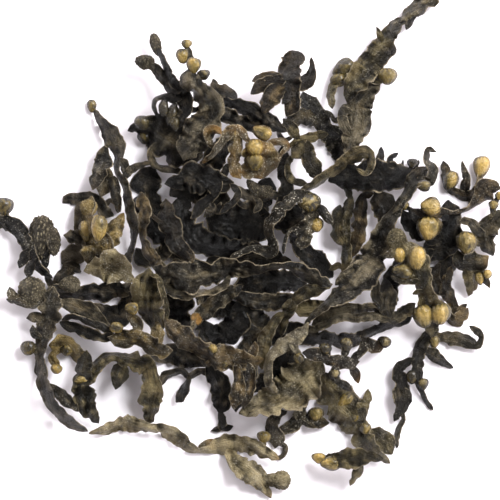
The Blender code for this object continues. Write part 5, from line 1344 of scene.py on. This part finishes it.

# Each family of fronds: its darkest colour, for dark patches and painted shade in the hollows; its blade; and
# its lightest, for light patches and painted highlight on the ridges
FINISHES = {
    "charcoal_frond": ((0.0013, 0.0010, 0.0007), (0.0127, 0.0103, 0.0063), (0.0966, 0.0790, 0.0538)),
    "grey_green_frond": ((0.0050, 0.0041, 0.0027), (0.0238, 0.0198, 0.0122), (0.1500, 0.1250, 0.0790)),
    "olive_frond": ((0.0078, 0.0062, 0.0030), (0.0290, 0.0233, 0.0106), (0.1750, 0.1410, 0.0680)),
    "brown_frond": ((0.0062, 0.0043, 0.0022), (0.0276, 0.0192, 0.0092), (0.1750, 0.1230, 0.0560)),
    "tan_frond": ((0.0150, 0.0100, 0.0036), (0.0663, 0.0460, 0.0138), (0.3948, 0.2856, 0.1008)),
    "pale_frond": ((0.0190, 0.0152, 0.0084), (0.0523, 0.0420, 0.0207), (0.3444, 0.2856, 0.1596)),
}

# Noises as scale, detail and distortion: streaks, veins and crumples follow the strap
STREAK_STRETCH = (1.0, 0.16, 1.0)
STREAKS = (11.0, 5.0, 0.6)
FINE_STREAKS = (34.0, 3.0, 0.3)
MOTTLES = (210.0, 4.0, 0.8)
BLOTCHES = (70.0, 3.0, 0.5)
GRAIN = (2300.0, 2.0, 0.0)
CRINKLES = (330.0, 4.0, 1.2)
SEPIA_PATCHES = (95.0, 2.0, 0.4)
CRUMPLE_SCALE = 4.2
SPECK_SCALE = 1150.0
VEIN_SHARPNESS = 7.0
CRINKLE_SHARPNESS = 8.0

# What each layer weighs up from the noises and the skin's facts
# One weight here is the relief: painted shade in its hollows, painted highlight on its ridges
LIGHTNESS = {
    "streaks": 0.90, "mottles": 0.60, "blotches": 0.75, "tone": 0.40, "crest": 0.52, "crumples": -0.12,
}
LIGHTNESS_START = -0.665
DUSTY = {"mottles": 0.8, "grain": 0.3, "pale": 0.3}
BROWNED = {"blotches": 0.9, "warm": 0.6}
NEAR_MARGIN = {"margin": 1.0, "streaks": 0.06, "mottles": 0.06}
DRY_MARGIN_AND_HIGHLIGHT = {"blotches": 1.6, "rim": 0.6}
WARTY = {"wart": 0.9, "grain": 0.3}
# Ripeness takes in the relief, which paints shade into a bladder's dents
RIPENESS_AND_DENT_SHADE = {"blotches": 1.5, "mottles": 1.1, "tone": 0.20, "crest": 0.35, "gold": 0.75}
RIPENESS_AND_DENT_SHADE_START = -1.30
MOSSY = {"mottles": 0.9, "grain": 0.2}
DRYNESS = {"grain": 0.16, "mottles": 0.36, "swell": -0.12}
DRYNESS_START = 0.10
BUMPS = {
    "streaks": 0.34, "veins": 0.07, "crinkles": 0.10, "mottles": 0.34, "grain": 0.020, "crumples": -0.30,
    "specks": 0.05,
}

# How deep the bumps are, how the dull leather shines, and the bladders' glossier coat
BUMP_DEPTH = 0.0056
BLADDER_SMOOTHNESS = 0.55
LEATHER_SHINE = 0.29
BLADDER_COAT = 0.35
BLADDER_GLOSS = 0.24


class Value:
    """A shader socket that sums and products can be written with."""

    def __init__(self, tree, socket):
        self.tree = tree
        self.socket = socket

    def maths(self, operation, *others):
        """Puts a Math node after this value."""
        node = self.tree.nodes.new("ShaderNodeMath")
        node.operation = operation
        for place, value in zip(node.inputs, (self, *others)):
            join(self.tree, value, place)
        return Value(self.tree, node.outputs[0])

    def __add__(self, other):
        return self.maths("ADD", other)

    def __mul__(self, other):
        return self.maths("MULTIPLY", other)

    def __sub__(self, other):
        return self.maths("SUBTRACT", other)

    def __rsub__(self, other):
        return (self * -1.0) + other

    __radd__ = __add__
    __rmul__ = __mul__

    def between(self, low, high):
        """Rises smoothly from 0 at low to 1 at high."""
        node = self.tree.nodes.new("ShaderNodeMapRange")
        node.interpolation_type = "SMOOTHSTEP"
        join(self.tree, self, node.inputs["Value"])
        node.inputs["From Min"].default_value = low
        node.inputs["From Max"].default_value = high
        return Value(self.tree, node.outputs["Result"])

    def near_half(self, sharpness):
        """Gives thin lines, 1 where a noise crosses one half and 0 away from there."""
        return 1.0 - ((self - 0.5) * sharpness).maths("ABSOLUTE").maths("MINIMUM", 1.0)


def join(tree, value, place):
    """Links a value to a socket, or sets a plain number or colour on it."""
    if isinstance(value, Value):
        tree.links.new(value.socket, place)
    elif isinstance(value, tuple) and len(value) == 3 and len(place.default_value) == 4:
        place.default_value = (*value, 1.0)
    else:
        place.default_value = value


class Shader:
    """The node tree of a material or a world."""

    def __init__(self, owner):
        owner.use_nodes = True
        self.tree = owner.node_tree

    def node(self, kind, output, settings=None, **inputs):
        """Adds a node of a kind, sets it up, and gives the named output."""
        node = self.tree.nodes.new("ShaderNode" + kind)
        for key, value in (settings or {}).items():
            setattr(node, key, value)
        self.feed(node, **inputs)
        return Value(self.tree, node.outputs[output])

    def feed(self, node, **inputs):
        """Feeds a node's named sockets."""
        for key, value in inputs.items():
            join(self.tree, value, node.inputs[key.replace("_", " ")])

    def combine(self, kind, output, places, values, **settings):
        """Adds a node whose sockets are known by their places, and gives one of its outputs."""
        node = self.tree.nodes.new("ShaderNode" + kind)
        for key, value in settings.items():
            setattr(node, key, value)
        for place, value in zip(places, values):
            join(self.tree, value, node.inputs[place])
        return Value(self.tree, node.outputs[output])

    def mix(self, first, second, share):
        """Mixes two colours by a share."""
        return self.combine("Mix", 2, (0, 6, 7), (share, first, second), data_type="RGBA")

    def stretched(self, place, factors):
        """Multiplies a place by a factor along each axis."""
        return self.combine("VectorMath", 0, (0, 1), (place, factors), operation="MULTIPLY")

    def fact(self, name):
        """Reads one of the skin's own facts."""
        return self.node("Attribute", "Fac", {"attribute_name": name})

    def noise(self, place, scale, detail, distortion):
        """Gives a noise's value."""
        return self.node("TexNoise", "Fac", Vector=place, Scale=scale, Detail=detail, Distortion=distortion)

    def cells(self, place, scale):
        """Gives the distance from the nearest of many scattered points."""
        return self.node("TexVoronoi", "Distance", {"feature": "F1"}, Vector=place, Scale=scale)


def weigh(grounds, weights, start=0.0):
    """Adds named grounds, each times its weight, to a start."""
    return sum((grounds[name] * weight for name, weight in weights.items()), start)


def weed_grounds(make):
    """Gives what every layer of the finish is worked out from, by name.

    These are the skin's facts, streaks and veins along the strap, and mottles, blotches, grain,
    crinkles and specks that don't follow it.
    """
    grounds = {name: make.fact(name) for name in SHADE_FACTS}
    place = make.node("TexCoord", "Object")
    along = make.stretched(make.node("UVMap", "UV", {"uv_map": "strap"}), STREAK_STRETCH)
    grounds["streaks"] = make.noise(along, *STREAKS)
    grounds["veins"] = make.noise(along, *FINE_STREAKS).near_half(VEIN_SHARPNESS)
    grounds["crumples"] = make.cells(along, CRUMPLE_SCALE)
    grounds["mottles"] = make.noise(place, *MOTTLES)
    grounds["blotches"] = make.noise(place, *BLOTCHES)
    grounds["grain"] = make.noise(place, *GRAIN)
    grounds["sepia"] = make.noise(place, *SEPIA_PATCHES)
    grounds["crinkles"] = make.noise(place, *CRINKLES).near_half(CRINKLE_SHARPNESS)
    specks = (1.0 - make.cells(place, SPECK_SCALE)).between(0.64, 0.80) * (grounds["speckle"] + 0.05)
    grounds["specks"] = specks * grounds["mottles"].between(0.38, 0.60)
    return grounds


def blade_colour(make, grounds, dark, middle, light):
    """Gives a blade's colour, from its darkest through the blade to its lightest: dark and light patches,
    with painted shade in the relief's hollows and painted highlight on its ridges.

    Pale veins and crinkles, painted highlight on the crests, dust, rust and sepia patches, tan margins that
    are partly dry and partly painted highlight on curled edges, salt specks and pale warts lie over it in
    that order, each where its own sum of grounds is high.
    """
    mottles, blotches, pale, warm, wart = (
        grounds[name] for name in ("mottles", "blotches", "pale", "warm", "wart")
    )
    lightness = weigh(grounds, LIGHTNESS, LIGHTNESS_START)
    lit = lightness.between(0.28, 0.90)
    # The pale edge is partly a dry margin and partly a painted highlight on the curled edges
    edge = weigh(grounds, NEAR_MARGIN).between(0.94, 1.03)
    edge = edge * weigh(grounds, DRY_MARGIN_AND_HIGHLIGHT).between(0.75, 1.30)
    colour = make.mix(dark, middle, lightness.between(-0.05, 0.72))
    for other, share in (
        (light, lightness.between(0.42, 1.25) * 0.95),
        (light, grounds["veins"] * mottles.between(0.42, 0.60) * lit * 0.35),
        (light, grounds["crinkles"] * blotches.between(0.45, 0.60) * lit * 0.45),
        # Painted highlight on the relief's ridges
        (light, grounds["crest"].between(0.35, 0.95) * grounds["streaks"].between(0.42, 0.60) * lit * 0.55),
        (DUST, weigh(grounds, DUSTY).between(0.58, 0.86) * (pale + 0.12).maths("MINIMUM", 1.0) * 0.75),
        (RUST, weigh(grounds, BROWNED).between(0.56, 0.90) * warm.between(0.0, 0.6) * 0.75),
        (SEPIA, grounds["sepia"].between(0.50, 0.68) * lightness.between(0.25, 0.75) * 0.55),
        (MARGIN_TAN_AND_HIGHLIGHT, edge * 0.80),
        (SALT, grounds["specks"] * 0.75),
        (make.mix(middle, light, mottles.between(0.25, 0.85)), wart.between(0.05, 0.3) * 0.75),
        (WART_TAN, weigh(grounds, WARTY).between(0.62, 0.95) * 0.50),
    ):
        colour = make.mix(colour, other, share)
    return colour


def bladder_colour(make, grounds, blade):
    """Gives an air bladder's colour: dark to olive to gold as it ripens, with painted shade in its dents, a
    painted highlight on its crinkles, and the blade's at its rim.
    """
    mottles, ripe_and_shade = grounds["mottles"], weigh(grounds, RIPENESS_AND_DENT_SHADE, RIPENESS_AND_DENT_SHADE_START)
    colour = make.mix(BLADDER_DARK, BLADDER_OLIVE, ripe_and_shade.between(0.05, 0.50))
    for other, share in (
        (BLADDER_LIGHT, ripe_and_shade.between(0.40, 1.00)),
        (MOSS, weigh(grounds, MOSSY).between(0.54, 0.70) * 0.45),
        # Painted highlight on the bladder's crinkles
        (BLADDER_PAINTED_HIGHLIGHT, grounds["crinkles"] * mottles.between(0.40, 0.60) * grounds["gold"] * 0.40),
        (blade, grounds["margin"].between(0.30, 0.85) * 0.90),
    ):
        colour = make.mix(colour, other, share)
    return colour


def frond_finish(name, dark, middle, light):
    """Makes a family's finish of dried weed: its colour, its dull leather and its glossier bladders."""
    material = bpy.data.materials.new(name)
    make = Shader(material)
    grounds = weed_grounds(make)
    swell = grounds["swell"]
    blade = blade_colour(make, grounds, dark, middle, light)
    colour = make.mix(blade, bladder_colour(make, grounds, blade), swell.between(0.1, 0.9))
    height = weigh(grounds, BUMPS) * (1.0 - swell * BLADDER_SMOOTHNESS)
    bump = make.node("Bump", "Normal", Height=height, Distance=BUMP_DEPTH, Strength=1.0)
    make.feed(
        make.tree.nodes["Principled BSDF"], Base_Color=colour, Normal=bump,
        Roughness=weigh(grounds, DRYNESS, DRYNESS_START), Specular_IOR_Level=LEATHER_SHINE,
        Coat_Weight=swell * BLADDER_COAT, Coat_Roughness=BLADDER_GLOSS,
    )
    return material


# Each frond's own marks, from the lowest up: a frond that isn't here has the plain ones. Most of the lowest
# fronds get lower tones, as painted shade for lying under the rest
MARKS = {
    "resting_blade": Marks(-0.3),
    "dark_panel": Marks(-0.4),
    "dark_heart": Marks(-0.8),
    "dark_core": Marks(-0.6),
    "shaded_brown_blade": Marks(-0.55, 0.1),
    "big_black_blade": Marks(-0.45),
    "black_left_blade": Marks(1.1),
    "black_left_strap": Marks(0.3),
    "olive_brown_frond": Marks(-0.25),
    "upright_olive_strap": Marks(-0.2),
    "speckled_grey_strap": Marks(0.2, 0.0, 0.2, 0.5, 0.3),
    "folded_olive_frond": Marks(-0.15),
    "dark_toothed_blade": Marks(-0.5, rim=0.6, gold=0.2),
    "streaked_blade": Marks(0.45, 0.0, 0.1, 0.1, 0.4, 0.0),
    "broad_green_blade": Marks(0.1, 0.0, 0.1, 0.1, 0.5, 0.25),
    "black_bud_frond": Marks(-0.3, gold=0.15),
    "brown_topped_blade": Marks(-0.6),
    "bladdered_top_strap": Marks(0.6, 0.0, 0.1, 0.1, 0.5, 0.40),
    "crown_frond": Marks(-0.35, 0.0, 0.0, 0.0, 0.7),
    "long_top_frond": Marks(0.35, 0.0, 0.1, 0.2, 0.5, 0.05),
    "bladder_plate_frond": Marks(-0.3, 0.35, 0.5, 0.6, 0.9, 0.75),
    "arched_speckled_frond": Marks(0.0, 0.05, 0.2, 1.0, 0.7, 0.75),
    "looped_diagonal_strap": Marks(0.2),
    "right_twist_frond": Marks(0.25, gold=0.75),
    "flared_bladder_frond": Marks(0.3, 0.2, 0.1, 0.2, 0.8, 0.80),
    "claw_frond": Marks(0.0, 0.1, 0.2, 0.3, 0.6, 0.75),
    "bladder_pair_frond": Marks(0.0, 0.1, 0.1, 0.2, 0.7, 0.85),
    "brown_twisted_frond": Marks(0.4),
    "lower_right_fork": Marks(-0.2, 0.0, 0.0, 0.1, 0.5, 0.3),
    "double_bladder_frond": Marks(0.2, 0.05, 0.1, 0.3, 0.7, 0.55),
    "paddle_strap": Marks(0.2, 0.0, 0.1, 0.1, 0.5, 0.4),
    "lower_centre_strap": Marks(-0.2, 0.0, 0.1, 0.1, 1.0),
    "broken_strap": Marks(0.55, 0.0, 0.1, 0.2, 0.7, root=1.0),
    "twisted_centre_blade": Marks(0.35),
    "long_diagonal_strap": Marks(0.45, 0.0, 0.1, 0.2, 0.8, 0.3),
    "wide_centre_strap": Marks(0.1, 0.0, 0.15, 0.2, 1.0),
    "square_blade": Marks(0.5, 0.1, 0.1, 0.2, 0.9),
    "pale_diamond_blade": Marks(2.5, 0.1, 0.3, 0.9, 0.9),
    "mottled_diagonal_strap": Marks(0.8, 0.1, 0.1, 0.2, 0.6, 0.5),
    "warty_brown_frond": Marks(0.1, 0.1, 0.2, 0.4, 0.6, 0.35),
    "warty_tips_frond": Marks(-1.35, 0.2, 0.2, 0.4, 0.6, 0.5),
    "curled_bottom_blade": Marks(0.35),
    "pale_lower_blade": Marks(0.0, 0.1, 0.4, 0.3, 1.0),
    "warty_lower_frond": Marks(0.6, 0.0, 0.3, 0.6, 0.5, 0.5),
    "folded_tan_leaf": Marks(-0.4, 0.1, 0.1, 0.2, 0.4),
    "left_bladder_blade": Marks(0.4, 0.2, 0.3, 0.4, 0.6, 0.55),
    "left_edge_frond": Marks(-0.6, 0.0, 0.1, 0.3, 0.4, 0.1),
    "speckled_pods_frond": Marks(0.0, 0.0, 0.3, 0.6, 0.4),
    "ragged_cup_frond": Marks(0.6, 0.2, 0.2, 0.3, 0.8, 0.45),
    "forked_lower_left_frond": Marks(0.25),
    "tan_twist_frond": Marks(0.35, 0.2, 0.2, 0.3, 0.8, 0.55),
    "long_left_strap": Marks(0.45, 0.0, 0.1, 0.2, 0.5, 0.25),
    "speckled_pale_blade": Marks(0.3, 0.05, 0.8, 0.9, 0.6),
    "long_pale_leaf_frond": Marks(1.0, 0.25, 0.4, 0.4, 0.6, 0.4),
}


def lay_frond(bed, frond, first_number):
    """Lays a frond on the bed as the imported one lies, and gives its straps and its laid solids."""
    ribbons, solids = frond_solids(frond, first_number)
    starts = np.cumsum([0] + [len(corners) for corners, _ in solids])
    corners = np.concatenate([corners for corners, _ in solids])
    faces = np.concatenate([faces + start for (_, faces), start in zip(solids, starts)])
    laid = bed.lay(corners, faces)
    return ribbons, [laid[start:stop] for start, stop in zip(starts, starts[1:])]


def build_fronds(frame):
    """Lays every frond, from the lowest to the topmost, and puts its fine skin in its place."""
    finishes = {slot: frond_finish(slot + "_dried", *colours) for slot, colours in FINISHES.items()}
    slots = {entry["node"]: entry["material_slot"] for entry in frame["record"]["subparts"]}
    bed = Bed()
    number = 0
    for frond in FRONDS:
        ribbons, rings = lay_frond(bed, frond, number)
        number += len(frond.straps)
        marks = MARKS.get(frond.name, Marks())
        skins = [strap_skin(ribbon, ring, marks) for ribbon, ring in zip(ribbons, rings)]
        for order, (pod, ring) in enumerate(zip(frond.pods, rings[len(ribbons):])):
            seat = (ring[:, 2].min() + ring[:, 2].max()) / 2
            skins.append(pod_skin(pod, order, seat, marks))
        piece = skin_object(frond.name + "_skin", skins)
        piece.data.materials.append(finishes[slots[frond.name]])
        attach(piece, "root")
        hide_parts(frond.name)


# The camera, the pale table, the window's light and the bright walls about them
CAMERA_HEIGHT = 3.0
SENSOR = 36.0
FLOOR_SIZE = 6.0
FLOOR_COLOUR = (0.93, 0.905, 0.960)
FLOOR_ROUGHNESS = 0.9
KEY_PLACE = (0.75, 0.65, 1.0)
KEY_SIZE = 0.65
KEY_POWER = 36.0
WALL_COLOUR = (1.0, 0.940, 0.935)
WALL_STRENGTH = 3.7
CEILING_STRENGTH = 0.12
WINDOW_WAY = (0.66, 0.75)
WINDOW_FADE = (-0.7, 0.7)
FAR_WALL = 0.20
WALL_TOP = (0.60, 0.80)


def linked(name, data):
    """Puts an object with the given mesh, light or camera into the scene."""
    thing = bpy.data.objects.new(name, data)
    bpy.context.scene.collection.objects.link(thing)
    return thing


def build_room():
    """Lights the room from its walls, and leaves its ceiling dark, so that flat leather stays black.

    The walls fade from bright beside the window to dim across from it.
    """
    world = bpy.data.worlds.new("room")
    make = Shader(world)
    way = make.node("TexCoord", "Generated")
    x, y, z = (make.node("SeparateXYZ", axis, Vector=way) for axis in "XYZ")
    facing = (x * WINDOW_WAY[0] + y * WINDOW_WAY[1]).between(*WINDOW_FADE)
    wall = (1.0 - z.between(*WALL_TOP)) * (facing * (1.0 - FAR_WALL) + FAR_WALL)
    strength = wall * (WALL_STRENGTH - CEILING_STRENGTH) + CEILING_STRENGTH
    make.feed(make.tree.nodes["Background"], Color=WALL_COLOUR, Strength=strength)
    bpy.context.scene.world = world


def build_table():
    """Makes the pale table top."""
    half = FLOOR_SIZE / 2
    corners = [(-half, -half, 0), (half, -half, 0), (half, half, 0), (-half, half, 0)]
    mesh = bpy.data.meshes.new("table_top")
    mesh.from_pydata(corners, [], [(0, 1, 2, 3)])
    floor = linked("table_top", mesh)
    paint = bpy.data.materials.new("table_paint")
    make = Shader(paint)
    make.feed(make.tree.nodes["Principled BSDF"], Base_Color=FLOOR_COLOUR, Roughness=FLOOR_ROUGHNESS)
    mesh.materials.append(paint)


def build_window():
    """Makes the soft light from the upper right."""
    light = bpy.data.lights.new("window", "AREA")
    light.size = KEY_SIZE
    light.energy = KEY_POWER
    window = linked("window", light)
    window.location = KEY_PLACE
    window.rotation_euler = (-Vector(KEY_PLACE)).to_track_quat("-Z", "Y").to_euler()


def build_camera():
    """Puts the camera straight above the picture's middle, high up, so that nothing looks foreshortened."""
    lens = bpy.data.cameras.new("camera")
    lens.sensor_width = SENSOR
    lens.lens = SENSOR * CAMERA_HEIGHT / (PICTURE_SIDE * SQUARE)
    camera = linked("camera", lens)
    camera.location = (*to_metres(*PICTURE_CENTRE), CAMERA_HEIGHT)
    bpy.context.scene.camera = camera
    bpy.context.scene.view_settings.view_transform = "Standard"


def main():
    """Builds the dressed clump on its table."""
    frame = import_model()
    build_table()
    build_window()
    build_room()
    build_camera()
    build_fronds(frame)


main()
